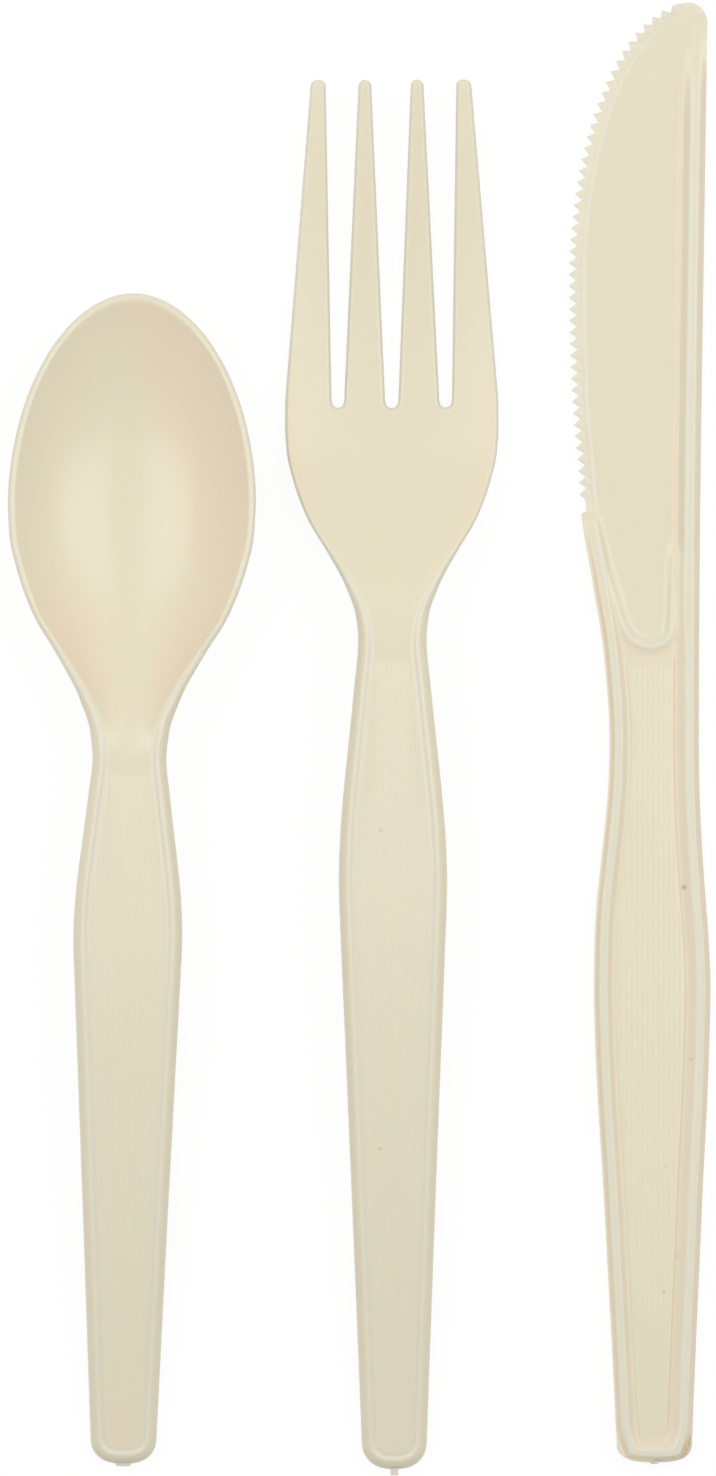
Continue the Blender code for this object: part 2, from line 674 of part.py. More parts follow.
def knife_web_mesh(plan):
    """Thin plate of the whole knife, ground down to the cutting edge along its left side."""
    rows = knife_rows(plan)
    insets = (0.0, KNIFE_BEVEL_WIDTH)
    shares = (0.5, 1.0)
    across = len(insets) + len(shares) - 1
    bm = bmesh.new()
    bmesh.ops.create_grid(bm, x_segments=across, y_segments=len(rows) - 1, size=1.0)
    upper = list(bm.verts)
    lower = bmesh.ops.extrude_face_region(bm, geom=list(bm.faces))["geom"]
    lower = [item for item in lower if isinstance(item, bmesh.types.BMVert)]
    for group, side in ((upper, 1), (lower, -1)):
        for vertex in group:
            column = round((vertex.co.x + 1) / 2 * across)
            y = float(rows[round((vertex.co.y + 1) / 2 * (len(rows) - 1))])
            full = plan.end_share(y)
            left, right = plan.left(y) * full, plan.right(y) * full
            inner = min(left + KNIFE_BEVEL_WIDTH, between(left, right, 0.4))
            if column < len(insets):
                x = inner if column else left
            else:
                x = between(inner, right, shares[column - len(insets)])
            half = KNIFE_WEB_HALF if column else KNIFE_EDGE_HALF
            vertex.co = Vector((x, y, side * half))
    bmesh.ops.recalc_face_normals(bm, faces=bm.faces)
    return finish_mesh(bm, "knife")


def rim_point(plan, side, y, inset):
    """Point an inset inside the knife's outline, on its left (-1) or its right (1) side."""
    edge = plan.left if side < 0 else plan.right
    corner_start = plan.tip - KNIFE_TIP_CORNER
    if y < KNIFE_END_ROUND:
        t = 1 - y / KNIFE_END_ROUND
        half = abs(edge(KNIFE_END_ROUND)) - inset
        return side * half * plan.end_share(y), KNIFE_END_ROUND - t * (KNIFE_END_ROUND - inset)
    if side > 0 and y > corner_start:
        t = (y - corner_start) / KNIFE_TIP_CORNER
        half = plan.right(corner_start) - KNIFE_TIP_RIGHT - inset
        x = KNIFE_TIP_RIGHT + half * math.sqrt(1 - t * t)
        return x, corner_start + t * (KNIFE_TIP_CORNER - inset)
    return edge(y) - side * inset, y


def swept_mesh(name, rings):
    """Solid through a run of closed rings of points that all have the same length."""
    bm = bmesh.new()
    around = len(rings[0])
    loop = bmesh.ops.create_circle(bm, cap_ends=True, radius=1.0, segments=around)["verts"]
    for place, points in enumerate(rings):
        if place:
            loop = extrude_loop(bm, loop)
        for vertex, point in zip(loop, points):
            vertex.co = point
    bm.faces.new(loop)
    bmesh.ops.recalc_face_normals(bm, faces=bm.faces)
    return finish_mesh(bm, name)


def mirrored(upper_section):
    """Close a section given on its upper side with the same points on its lower side."""
    return list(upper_section) + [(distance, -rise) for distance, rise in reversed(upper_section)]


def knife_rim_mesh(plan):
    """Raised rounded rim from the heel, round the handle's end and up the spine to the tip."""
    rows = [float(y) for y in knife_rows(plan)]
    places = [(-1, y) for y in reversed(rows) if y <= plan.heel]
    places += [(1, y) for y in rows if y <= plan.tip - KNIFE_TIP_CORNER * 0.1]
    rings = []
    for side, y in places:
        fade_in = (plan.heel - y) / KNIFE_RIM_RISE if side < 0 else (plan.tip - y) / KNIFE_RIM_FALL
        full = 0.15 + 0.85 * math.sqrt(min(max(fade_in, 0.0), 1.0))
        half = between(KNIFE_WEB_HALF, KNIFE_RIM_HALF, full)
        width = between(0.4, 1.0, full) * KNIFE_RIM_WIDTH
        section = mirrored((
            (0.0, half * 0.45),
            (width * 0.12, half * 0.83),
            (width * 0.35, half),
            (width * 0.72, half),
            (width, half * 0.3),
        ))
        rings.append([(*rim_point(plan, side, y, inset), rise) for inset, rise in section])
    return swept_mesh("knife_rim", rings)


def knife_lip_path(plan):
    """Middle line of the lip that ends the blade's web, from the heel down and round."""
    left = plan.left(plan.heel)
    right = KNIFE_NECK_RIGHT - KNIFE_RIM_WIDTH - KNIFE_LIP_WIDTH
    bottom = plan.neck + KNIFE_LIP_DISTANCE
    return np.array([
        (between(left, right, across), between(plan.heel, bottom, down))
        for across, down in LIP_CURVE
    ])


def knife_lip_mesh(plan):
    """Low rounded lip along the end of the web."""
    points = knife_lip_path(plan)
    tangents = np.gradient(points, axis=0)
    tangents /= np.linalg.norm(tangents, axis=1)[:, None]
    rings = []
    for i, ((x, y), (along_x, along_y)) in enumerate(zip(points, tangents)):
        full = 0.25 + 0.75 * math.sqrt(math.sin(math.pi * i / (len(points) - 1)))
        half = between(KNIFE_WEB_HALF, KNIFE_LIP_HALF, full)
        side = KNIFE_LIP_WIDTH / 2
        section = mirrored((
            (-side, half * 0.5),
            (-side * 0.4, half),
            (side * 0.4, half),
            (side, half * 0.35),
        ))
        rings.append([(x - along_y * out, y + along_x * out, rise) for out, rise in section])
    return swept_mesh("knife_lip", rings)


def knife_sides(plan, inset, start, stops, count=14):
    """Points up the handle's right side and down its left, an inset inside the outline.

    stops are the places where the right side ends and where the left side begins.
    """
    right = [(plan.right(float(y)) - inset, float(y)) for y in np.linspace(start, stops[0], count)]
    left = [(plan.left(float(y)) + inset, float(y)) for y in np.linspace(stops[1], start, count)]
    return right, left


def add_knife_plate(knife, plan):
    """Join the handle's plate, which ends in the curve of the lip."""
    lip = [tuple(float(value) for value in point) for point in reversed(knife_lip_path(plan)[1:-1])]
    right, left = knife_sides(plan, KNIFE_RIM_WIDTH / 2, KNIFE_END_ROUND, (lip[0][1], lip[-1][1]))
    outline = right + lip + left
    plate = prism_mesh("knife_plate", outline, -KNIFE_PLATE_HALF, KNIFE_PLATE_HALF)
    combine(knife, add_tool("knife_plate", plate, knife), "UNION")


def add_knife_pad(knife, plan):
    """Join the handle's raised pad, and the ribs on both of its faces."""
    right, left = knife_sides(plan, KNIFE_PAD_INSET, KNIFE_PAD_START, (KNIFE_PAD_STOP,) * 2)
    pad = prism_mesh("knife_pad", right + left, -KNIFE_PAD_HALF, KNIFE_PAD_HALF)
    combine(knife, add_tool("knife_pad", pad, knife), "UNION")

    inset = KNIFE_PAD_INSET + 0.0003
    right, left = knife_sides(plan, inset, KNIFE_RIB_START, (KNIFE_RIB_STOP,) * 2)
    level = KNIFE_PAD_HALF + RIB_FOOT
    slab = ribbed_mesh(
        "knife_ribs", KNIFE_RIB_PITCH, KNIFE_GRIP_LEFT - inset, (KNIFE_RIB_START, KNIFE_RIB_STOP),
        lambda y: level, lambda y: -level, both_sides=True,
    )
    ribs = add_tool("knife_ribs", slab, knife)
    panel = prism_mesh("knife_panel", right + left, -0.01, 0.01)
    combine(ribs, add_tool("knife_panel", panel, knife), "INTERSECT")
    combine(knife, ribs, "UNION")


def tooth_tips(plan):
    """Tips of the teeth, at an even pitch along the cutting edge, with outward directions."""
    rows = np.linspace(plan.heel + KNIFE_FIRST_TOOTH, plan.tip - KNIFE_LAST_TOOTH, 400)
    edge = np.array([(plan.left(float(y)), float(y)) for y in rows])
    runs = np.linalg.norm(np.diff(edge, axis=0), axis=1)
    lengths = np.concatenate(([0.0], np.cumsum(runs)))
    marks = np.arange(int(lengths[-1] // TOOTH_PITCH) + 1) * TOOTH_PITCH
    tips = np.stack([np.interp(marks, lengths, edge[:, axis]) for axis in (0, 1)], axis=1)
    along_edge = np.gradient(tips, axis=0)
    along_edge /= np.linalg.norm(along_edge, axis=1)[:, None]
    return tips, np.stack((-along_edge[:, 1], along_edge[:, 0]), axis=1)


def tooth_comb_mesh(plan):
    """Comb that leaves the teeth standing when it is cut from the blade's left edge."""
    tips, outward = tooth_tips(plan)
    clear = 0.002
    heel_x = plan.left(plan.heel)
    outline = [
        (heel_x - clear, plan.heel),
        (heel_x + TOOTH_TRIM, plan.heel),
        (heel_x + KNIFE_HEEL_NOTCH, plan.heel + KNIFE_FIRST_TOOTH * 0.4),
        (heel_x + KNIFE_HEEL_NOTCH, plan.heel + KNIFE_FIRST_TOOTH * 0.7),
    ]
    for i, (tip, direction) in enumerate(zip(tips, outward)):
        outline.append(tip - direction * TOOTH_TRIM)
        if i + 1 < len(tips):
            middle = (tip + tips[i + 1]) / 2
            side = (direction + outward[i + 1]) / 2
            outline.append(middle - side * TOOTH_DEPTH)
    outline += [tip + direction * clear for tip, direction in zip(tips[::-1], outward[::-1])]
    return prism_mesh("knife_teeth", outline, -0.004, 0.004)


def build_knife():
    """Knife: a flat serrated blade with a spine, and a rimmed handle with a ribbed pad."""
    plan = knife_plan()
    knife = add_piece("knife", knife_web_mesh(plan))
    add_knife_plate(knife, plan)
    combine(knife, add_tool("knife_rim", knife_rim_mesh(plan), knife), "UNION")
    combine(knife, add_tool("knife_lip", knife_lip_mesh(plan), knife), "UNION")
    add_knife_pad(knife, plan)
    combine(knife, add_tool("knife_teeth", tooth_comb_mesh(plan), knife), "DIFFERENCE")
    add_gate(knife, KNIFE_GATE, 0.0, KNIFE_RIM_HALF)
    return knife


def corners_of(piece):
    """Lowest and highest corner of a finished piece where it lies."""
    bpy.context.view_layer.update()
    finished = piece.evaluated_get(bpy.context.evaluated_depsgraph_get())
    points = np.array([finished.matrix_world @ vertex.co for vertex in finished.data.vertices])
    return Vector(points.min(axis=0)), Vector(points.max(axis=0))


def lay_out(pieces):
    """Lay the pieces side by side, each resting on z = 0, with the set centred on the origin.

    Each entry is (piece, lean, gap to the piece on its left, setback of its handle's end).
    """
    reach = 0.0
    for piece, lean, gap, setback in pieces:
        piece.rotation_euler.z = lean
        low, high = corners_of(piece)
        piece.location = (reach + gap - low.x, setback, -low.z)
        reach += gap + high.x - low.x
    corners = [corners_of(piece) for piece, *_ in pieces]
    back = min(low.y for low, _ in corners)
    front = max(high.y for _, high in corners)
    for piece, *_ in pieces:
        piece.location -= Vector((reach / 2, (back + front) / 2, 0.0))


def main():
    """Build the set in an empty scene."""
    for item in list(bpy.data.objects):
        bpy.data.objects.remove(item)
    for name in (KIT, KIT + "_cutters"):
        bpy.context.scene.collection.children.link(bpy.data.collections.new(name))
    spoon = build_spoon()
    fork = build_fork()
    knife = build_knife()
    lay_out((
        (spoon, SPOON_LEAN, 0.0, SPOON_SETBACK),
        (fork, FORK_LEAN, SPOON_TO_FORK_GAP, FORK_SETBACK),
        (knife, 0.0, FORK_TO_KNIFE_GAP, KNIFE_SETBACK),
    ))


main()
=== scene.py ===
"""Looks of a disposable cutlery kit: a spoon, a fork and a serrated knife in cream plastic.

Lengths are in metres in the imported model's frame: +X from the spoon to the knife, +Y from the
handles' ends to the tips, and +Z up from the surface that the set lies on. Each piece is shaped
along +Y from its handle's end and is then laid in its place by its own offset and lean.
"""

import logging
import math
from abc import ABC, abstractmethod
from dataclasses import dataclass
from enum import Enum
from typing import Callable, Sequence

import bmesh
import bpy
import numpy as np
from mathutils import Matrix


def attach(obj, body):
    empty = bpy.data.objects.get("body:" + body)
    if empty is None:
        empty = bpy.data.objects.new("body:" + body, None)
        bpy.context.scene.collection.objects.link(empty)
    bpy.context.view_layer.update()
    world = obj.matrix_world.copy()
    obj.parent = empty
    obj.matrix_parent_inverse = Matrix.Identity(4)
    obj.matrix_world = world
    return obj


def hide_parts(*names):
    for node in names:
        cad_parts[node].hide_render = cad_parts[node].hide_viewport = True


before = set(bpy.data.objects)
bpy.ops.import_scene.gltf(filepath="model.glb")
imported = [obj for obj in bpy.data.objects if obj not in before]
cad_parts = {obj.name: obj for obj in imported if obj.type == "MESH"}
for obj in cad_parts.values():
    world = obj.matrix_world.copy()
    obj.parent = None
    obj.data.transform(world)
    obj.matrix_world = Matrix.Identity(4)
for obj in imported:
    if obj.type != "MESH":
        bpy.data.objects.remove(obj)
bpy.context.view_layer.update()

LOG = logging.getLogger("cutlery_kit")
BODY = "root"
# Vertex attribute of painted shade (positive, warm) and painted highlight (negative, cool)
PAINTED_LIGHT = "painted_light"

Value = float | np.ndarray
Span = tuple[float, float]
Curve = Callable[[np.ndarray], np.ndarray]
Stations = Sequence[tuple[float, float]]
StationList = list[tuple[float, float]]
Loop = list[bmesh.types.BMVert]
Socket = bpy.types.NodeSocket
Colour = tuple[float, float, float, float]

WHITE: Colour = (1.0, 1.0, 1.0, 1.0)
# Faces that meet at more than this angle keep a sharp edge
SHARP_ANGLE = math.radians(50)
# Slack where a place is compared with the row that it lies on
ROW_SLACK = 1e-9
# Step over which the slope of an outline is measured
SLOPE_STEP = 0.0004
# Least upright share of a normal, so that a steep wall doesn't grow too thick
LEAST_UPRIGHT = 0.62
# How far a stub reaches into the handle, and how far its edges are rounded
STUB_OVERLAP = 0.0006
STUB_ROUND = 0.00012

# Shape of the widenings, as (share of the way along, share of the way out)
SHOULDER_CURVE = ((0.0, 0.0), (0.2, 0.085), (0.4, 0.29), (0.6, 0.545), (0.8, 0.79), (1.0, 1.0))
FLARE_CURVE = ((0.0, 0.0), (0.1, 0.03), (0.25, 0.18), (0.41, 0.43), (0.567, 0.70), (0.724, 0.875),
               (0.88, 0.98), (1.0, 1.0))
KNIFE_LEFT_SHOULDER_CURVE = ((0.0, 0.0), (0.167, 0.04), (0.333, 0.18), (0.5, 0.456),
                             (0.667, 0.73), (0.833, 0.94), (1.0, 1.0))
KNIFE_RIGHT_SHOULDER_CURVE = ((0.0, 0.0), (0.167, 0.12), (0.333, 0.38), (0.5, 0.64),
                              (0.667, 0.84), (0.833, 0.965), (1.0, 1.0))
HEEL_CURVE = ((0.35, 0.18), (0.7, 0.61), (1.0, 1.0))
BELLY_CURVE = ((0.24, 0.35), (0.45, 0.70), (0.7, 0.89), (1.0, 1.0))
# Curve of the knife's lip, as (share of the way across the blade, share of the way down)
LIP_CURVE = ((0.133, 0.086), (0.225, 0.368), (0.333, 0.598), (0.426, 0.805), (0.556, 0.948),
             (0.751, 1.0), (0.903, 0.966), (0.983, 0.862), (1.0, 0.649), (1.017, 0.310))
# Widening of the handles from their ends to their widest places
TAPER_CURVE = ((0.0, 0.0), (0.45, 0.447), (0.75, 0.76), (0.89, 0.907))
KNIFE_TAPER_CURVE = ((0.0, 0.0), (0.25, 0.243), (0.42, 0.43), (0.59, 0.612), (0.75, 0.815),
                     (0.84, 0.905), (0.92, 0.965))
# Share of a handle's rise that is reached half way along the grip
HALF_WAY_RISE = 0.62
# Power of the superellipse that rounds the handles' ends
END_POWER = 2.8


class Side(Enum):
    """A side of the knife as seen from above."""

    LEFT = -1
    RIGHT = 1


def between(start: Value, stop: Value, share: Value) -> Value:
    """Value a share of the way from start to stop."""
    return start + (stop - start) * share


def smooth_step(value: np.ndarray, start: float, stop: float) -> np.ndarray:
    """Rise smoothly from 0 at start to 1 at stop."""
    t = np.clip((np.asarray(value, float) - start) / (stop - start), 0.0, 1.0)
    return t * t * (3 - 2 * t)


def rise_and_fall(value: np.ndarray, rise: Span, fall: Span) -> np.ndarray:
    """Rise smoothly from 0 to 1 over one span, and fall back to 0 over a later one."""
    return smooth_step(value, *rise) * (1 - smooth_step(value, *fall))


def past(place: float, span: Span) -> Span:
    """Shift a span that is measured from a place to that place."""
    return place + span[0], place + span[1]


def around(place: float, reach: float) -> Span:
    """Span that reaches as far before a place as after it."""
    return place - reach, place + reach


def smooth_curve(stations: Stations) -> Curve:
    """Make a smooth function through a run of stations that never overshoots them.

    Args:
        stations: The (place, value) pairs, in order of place.

    Returns:
        A function of an array of places.
    """
    places, values = (np.array(column, float) for column in zip(*stations))
    steps = np.diff(places)
    rises = np.diff(values) / steps
    slopes = np.concatenate(([rises[0]], np.zeros(len(rises) - 1), [rises[-1]]))
    for i in range(1, len(rises)):
        if rises[i - 1] * rises[i] > 0:
            before = 2 * steps[i] + steps[i - 1]
            after = steps[i] + 2 * steps[i - 1]
            slopes[i] = (before + after) / (before / rises[i - 1] + after / rises[i])

    def value(place: np.ndarray) -> np.ndarray:
        """Follow the curve.

        Args:
            place: Places to find its values at.

        Returns:
            The values.
        """
        place = np.clip(np.asarray(place, float), places[0], places[-1])
        i = np.clip(np.searchsorted(places, place, side="right") - 1, 0, len(steps) - 1)
        t = (place - places[i]) / steps[i]
        rising = (3 - 2 * t) * t * t
        lift = slopes[i] * t * (1 - t) ** 2 - slopes[i + 1] * t * t * (1 - t)
        return values[i] * (1 - rising) + values[i + 1] * rising + steps[i] * lift

    return value


def along(curve: Stations, start: float, stop: float, low: float, high: float) -> StationList:
    """Stations of a widening curve stretched from (start, low) to (stop, high)."""
    return [(between(start, stop, t), between(low, high, share)) for t, share in curve]


def round_end(u: np.ndarray, t: np.ndarray, power: float) -> tuple[np.ndarray, np.ndarray]:
    """Place points of the half square (-1..1, 0..1) in a half superellipse of unit size.

    Args:
        u: Places across, from -1 to 1.
        t: Places out, from 0 to 1.
        power: Power of the superellipse. 2 is a circle, and more is squarer.

    Returns:
        The places across and out in the superellipse.
    """
    x = u * np.sqrt(1 - t * t / 2)
    y = t * np.sqrt(1 - u * u / 2)
    reach = np.hypot(x, y)
    sides = np.maximum((abs(x) ** power + y ** power) ** (1 / power), 1e-9)
    return x * reach / sides, y * reach / sides


def rib_wave(x: np.ndarray, pitch: float, height: float) -> np.ndarray:
    """Height of straight rounded ribs at x, with a crest on the middle line."""
    return height * (0.5 + 0.5 * np.cos(2 * math.pi * x / pitch))


def nearest_on(points: np.ndarray, line: np.ndarray) -> tuple[np.ndarray, np.ndarray]:
    """Find the nearest place on a bent line for each point of a grid.

    Args:
        points: Grid of points, rows by columns by (x, y).
        line: Corners of the line, in order.

    Returns:
        The distance to the line, and the place along it as a share of its corners.
    """
    starts, runs = line[:-1], np.diff(line, axis=0)
    squares = np.maximum((runs ** 2).sum(axis=1), 1e-18)
    distances, places = np.empty(points.shape[:2]), np.empty(points.shape[:2])
    for i, row in enumerate(points):
        offsets = row[:, None, :2] - starts
        share = np.clip((offsets * runs).sum(axis=2) / squares, 0.0, 1.0)
        gaps = np.linalg.norm(offsets - share[..., None] * runs, axis=2)
        best = gaps.argmin(axis=1)
        picked = np.arange(len(row))
        distances[i] = gaps[picked, best]
        places[i] = (best + share[picked, best]) / len(runs)
    return distances, places


def boundary_loop(bm: bmesh.types.BMesh) -> Loop:
    """Follow the open edge of a sheet.

    Args:
        bm: The sheet, with its edges indexed.

    Returns:
        The vertices round the edge, in order.
    """
    edges = {edge for edge in bm.edges if edge.is_boundary}
    first = min(edges, key=lambda edge: edge.index)
    loop = list(first.verts)
    edges.discard(first)
    while edges:
        step = next(edge for edge in loop[-1].link_edges if edge in edges)
        edges.discard(step)
        loop.append(step.other_vert(loop[-1]))
    return loop[:-1]


def outward_normals(loop: Loop) -> np.ndarray:
    """Find the directions in the XY plane that point away from the sheet inside a loop.

    Args:
        loop: Vertices of the closed loop, in order.

    Returns:
        One direction of unit length for each vertex.
    """
    points = np.array([vertex.co[:2] for vertex in loop])
    ahead = np.roll(points, -1, axis=0) - points
    behind = points - np.roll(points, 1, axis=0)
    ahead /= np.linalg.norm(ahead, axis=1)[:, None]
    behind /= np.linalg.norm(behind, axis=1)[:, None]
    tangents = ahead + behind
    tangents /= np.linalg.norm(tangents, axis=1)[:, None]
    following = np.roll(points, -1, axis=0)
    area = float(np.sum(points[:, 0] * following[:, 1] - following[:, 0] * points[:, 1]))
    turn = 1.0 if area > 0 else -1.0
    return turn * np.stack((tangents[:, 1], -tangents[:, 0]), axis=1)


def extrude_loop(bm: bmesh.types.BMesh, loop: Loop) -> Loop:
    """Extrude a closed loop of vertices in place.

    Args:
        bm: Mesh that the loop is in.
        loop: Vertices of the closed loop, in order.

    Returns:
        The new loop, in the same order.
    """
    edges = [bm.edges.get(pair) for pair in zip(loop, loop[1:] + loop[:1])]
    made = bmesh.ops.extrude_edge_only(bm, edges=edges)["geom"]
    fresh = {item for item in made if isinstance(item, bmesh.types.BMVert)}
    others = [[edge.other_vert(vertex) for edge in vertex.link_edges] for vertex in loop]
    return [next(vertex for vertex in found if vertex in fresh) for found in others]


@dataclass(frozen=True)
class Speck:
    """A small dark or pale mark in the plastic, seen from above."""

    x: float
    y: float
    radius: float
    strength: float


def fill_inputs(tree: bpy.types.NodeTree, node: bpy.types.Node, inputs: dict) -> None:
    """Fill a node's inputs.

    Args:
        tree: Tree that the node is in.
        node: The node.
        inputs: Values or other nodes' outputs, by the name or number of the input.
    """
    for key, value in inputs.items():
        if isinstance(value, Socket):
            tree.links.new(value, node.inputs[key])
        else:
            node.inputs[key].default_value = value


def add_node(tree: bpy.types.NodeTree, kind: str, inputs: dict | None = None,
             **settings: str) -> bpy.types.Node:
    """Add a shader node and fill its inputs.

    Args:
        tree: Tree to add it to.
        kind: Type of the node, without the words that all shader nodes begin with.
        inputs: Values or other nodes' outputs, by the name or number of the input.
        settings: Properties of the node, which are set before its inputs.

    Returns:
        The node.
    """
    node = tree.nodes.new("ShaderNode" + kind)
    for name, value in settings.items():
        setattr(node, name, value)
    fill_inputs(tree, node, inputs or {})
    return node


@dataclass(frozen=True)
class CreamPlastic:
    """Satin cream moulded plastic with fine grain and a few specks.

    Each vertex has a painted-light tone: 0 is the plain colour, 1 the warm colour of painted shade
    in hollows and on walls turned away from the light, and -1 the cool colour of painted highlight
    on crests.
    """

    plain: Colour = (0.772, 0.717, 0.537, 1.0)
    # Colours of painted shade and of painted highlight
    painted_shade: Colour = (0.800, 0.700, 0.528, 1.0)
    painted_highlight: Colour = (0.750, 0.720, 0.590, 1.0)
    speck: Colour = (0.36, 0.30, 0.22, 1.0)
    speck_core: float = 0.3
    roughness: float = 0.28
    grain_scale: float = 2600.0
    grain_detail: float = 1.0
    grain_depth: float = 0.000012
    index: float = 1.59
    glow: float = 0.30
    glow_radius: tuple[float, float, float] = (1.0, 0.6, 0.35)
    glow_scale: float = 0.0014

    def material(self, name: str, specks: Sequence[Speck]) -> bpy.types.Material:
        """Make the material of one piece.

        Args:
            name: Name of the material.
            specks: Marks that show in this piece.

        Returns:
            The material.
        """
        material = bpy.data.materials.new(name)
        material.use_nodes = True
        tree = material.node_tree
        place = add_node(tree, "TexCoord").outputs["Object"]
        colour = add_node(tree, "RGB").outputs["Color"]
        colour.default_value = self.plain
        # Lay the painted shade and the painted highlight over the plain colour
        for painted_colour, full in ((self.painted_shade, 1.0), (self.painted_highlight, -1.0)):
            colour = self.with_painted_light(tree, colour, painted_colour, full)
        noise = add_node(tree, "TexNoise", {
            "Scale": self.grain_scale, "Detail": self.grain_detail, "Vector": place,
        })
        grain = add_node(tree, "Bump", {
            "Distance": self.grain_depth, "Height": noise.outputs["Fac"],
        })
        fill_inputs(tree, tree.nodes["Principled BSDF"], {
            "Base Color": self.speckled(tree, place, colour, specks),
            "Normal": grain.outputs["Normal"],
            "Roughness": self.roughness,
            "IOR": self.index,
            "Subsurface Weight": self.glow,
            "Subsurface Radius": self.glow_radius,
            "Subsurface Scale": self.glow_scale,
        })
        return material

    @staticmethod
    def with_painted_light(tree: bpy.types.NodeTree, plain: Socket, colour: Colour, full: float) -> Socket:
        """Lay a painted shade or painted highlight colour over a plain one.

        Args:
            tree: Node tree of the material.
            plain: Output that gives the colour so far.
            colour: The painted shade or painted highlight colour.
            full: Tone at which it covers all of the plain colour.

        Returns:
            The output that gives the colour with that painted light.
        """
        painted_light = add_node(tree, "Attribute", attribute_name=PAINTED_LIGHT)
        share = add_node(tree, "MapRange", {"From Max": full, "Value": painted_light.outputs["Fac"]})
        return add_node(tree, "Mix", {
            "Factor": share.outputs["Result"], "A": plain, "B": colour,
        }, data_type="RGBA").outputs["Result"]

    def speckled(self, tree: bpy.types.NodeTree, place: Socket, colour: Socket,
                 specks: Sequence[Speck]) -> Socket:
        """Lay each speck over a colour.

        Args:
            tree: Node tree of the material.
            place: Output that gives the place on the piece.
            colour: Output that gives the colour so far.
            specks: The marks.

        Returns:
            The output that gives the colour with its specks.
        """
        flat = add_node(tree, "VectorMath", {0: place, 1: (1.0, 1.0, 0.0)}, operation="MULTIPLY")
        for mark in specks:
            gap = add_node(tree, "VectorMath", {
                0: flat.outputs["Vector"], 1: (mark.x, mark.y, 0.0),
            }, operation="DISTANCE")
            fade = add_node(tree, "MapRange", {
                "From Min": mark.radius * self.speck_core, "From Max": mark.radius,
                "To Min": mark.strength, "To Max": 0.0, "Value": gap.outputs["Value"],
            }, interpolation_type="SMOOTHSTEP")
            colour = add_node(tree, "Mix", {
                "Factor": fade.outputs["Result"], "A": colour, "B": self.speck,
            }, data_type="RGBA").outputs["Result"]
        return colour


@dataclass
class Piece(ABC):
    """One moulding of the set, shaped from a sheet of points and laid in its place."""

    node: str
    x: float
    y: float
    lean: float
    specks: tuple[Speck, ...]
    finish: CreamPlastic

    @abstractmethod
    def shape(self) -> bmesh.types.BMesh:
        """Shape the piece along +Y from its handle's end."""

    def build(self) -> bpy.types.Object:
        """Make the piece's object, lay it in its place on the table and dress it.

        Returns:
            The object, which stands for the solid of the same kind.
        """
        bm = self.shape()
        lowest = min(vertex.co.z for vertex in bm.verts)
        bmesh.ops.rotate(bm, verts=bm.verts, matrix=Matrix.Rotation(self.lean, 3, "Z"))
        bmesh.ops.translate(bm, vec=(self.x, self.y, -lowest), verts=bm.verts)
        bmesh.ops.recalc_face_normals(bm, faces=bm.faces)
        mesh = bpy.data.meshes.new(self.node + "_moulding")
        bm.to_mesh(mesh)
        bm.free()
        mesh.shade_smooth()
        mesh.set_sharp_from_angle(angle=SHARP_ANGLE)
        mesh.materials.append(self.finish.material(self.node + "_cream_plastic", self.specks))
        piece = bpy.data.objects.new(self.node + "_moulding", mesh)
        bpy.context.scene.collection.objects.link(piece)
        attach(piece, BODY)
        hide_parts(self.node)
        LOG.info("%s: %d faces", piece.name, len(mesh.polygons))
        return piece


def grid_of(points: np.ndarray, painted_shade_and_highlight: np.ndarray | None = None) -> bmesh.types.BMesh:
    """Make a grid and move each of its vertices to a point.

    Args:
        points: The points, rows by columns by (x, y, z).
        painted_shade_and_highlight: Painted shade (positive) and painted highlight (negative) at
            each point, or None where there is none.

    Returns:
        The grid.
    """
    rows, columns = points.shape[:2]
    bm = bmesh.new()
    painted_light = bm.verts.layers.float.new(PAINTED_LIGHT)
    bmesh.ops.create_grid(bm, x_segments=columns - 1, y_segments=rows - 1, size=1.0)
    for vertex in bm.verts:
        column = round((vertex.co.x + 1) / 2 * (columns - 1))
        row = round((vertex.co.y + 1) / 2 * (rows - 1))
        vertex.co = points[row, column]
        vertex[painted_light] = 0.0 if painted_shade_and_highlight is None else painted_shade_and_highlight[row, column]
    return bm


def add_stub(bm: bmesh.types.BMesh, width: float, reach: float, low: float, high: float) -> None:
    """Add the small stub that is left where the moulding was fed, at the handle's end.

    Args:
        bm: Mesh of the piece.
        width: Width across the handle.
        reach: How far it stands out of the handle's end.
        low: Height of its underside.
        high: Height of its top.
    """
    stub = bmesh.ops.create_cube(bm, size=1.0)["verts"]
    bmesh.ops.scale(bm, vec=(width, reach + STUB_OVERLAP, high - low), verts=stub)
    middle = (0.0, (STUB_OVERLAP - reach) / 2, (low + high) / 2)
    bmesh.ops.translate(bm, vec=middle, verts=stub)
    edges = list({edge for vertex in stub for edge in vertex.link_edges})
    bmesh.ops.bevel(bm, geom=edges, offset=STUB_ROUND, segments=2, profile=0.5, affect="EDGES",
                    material=-1)


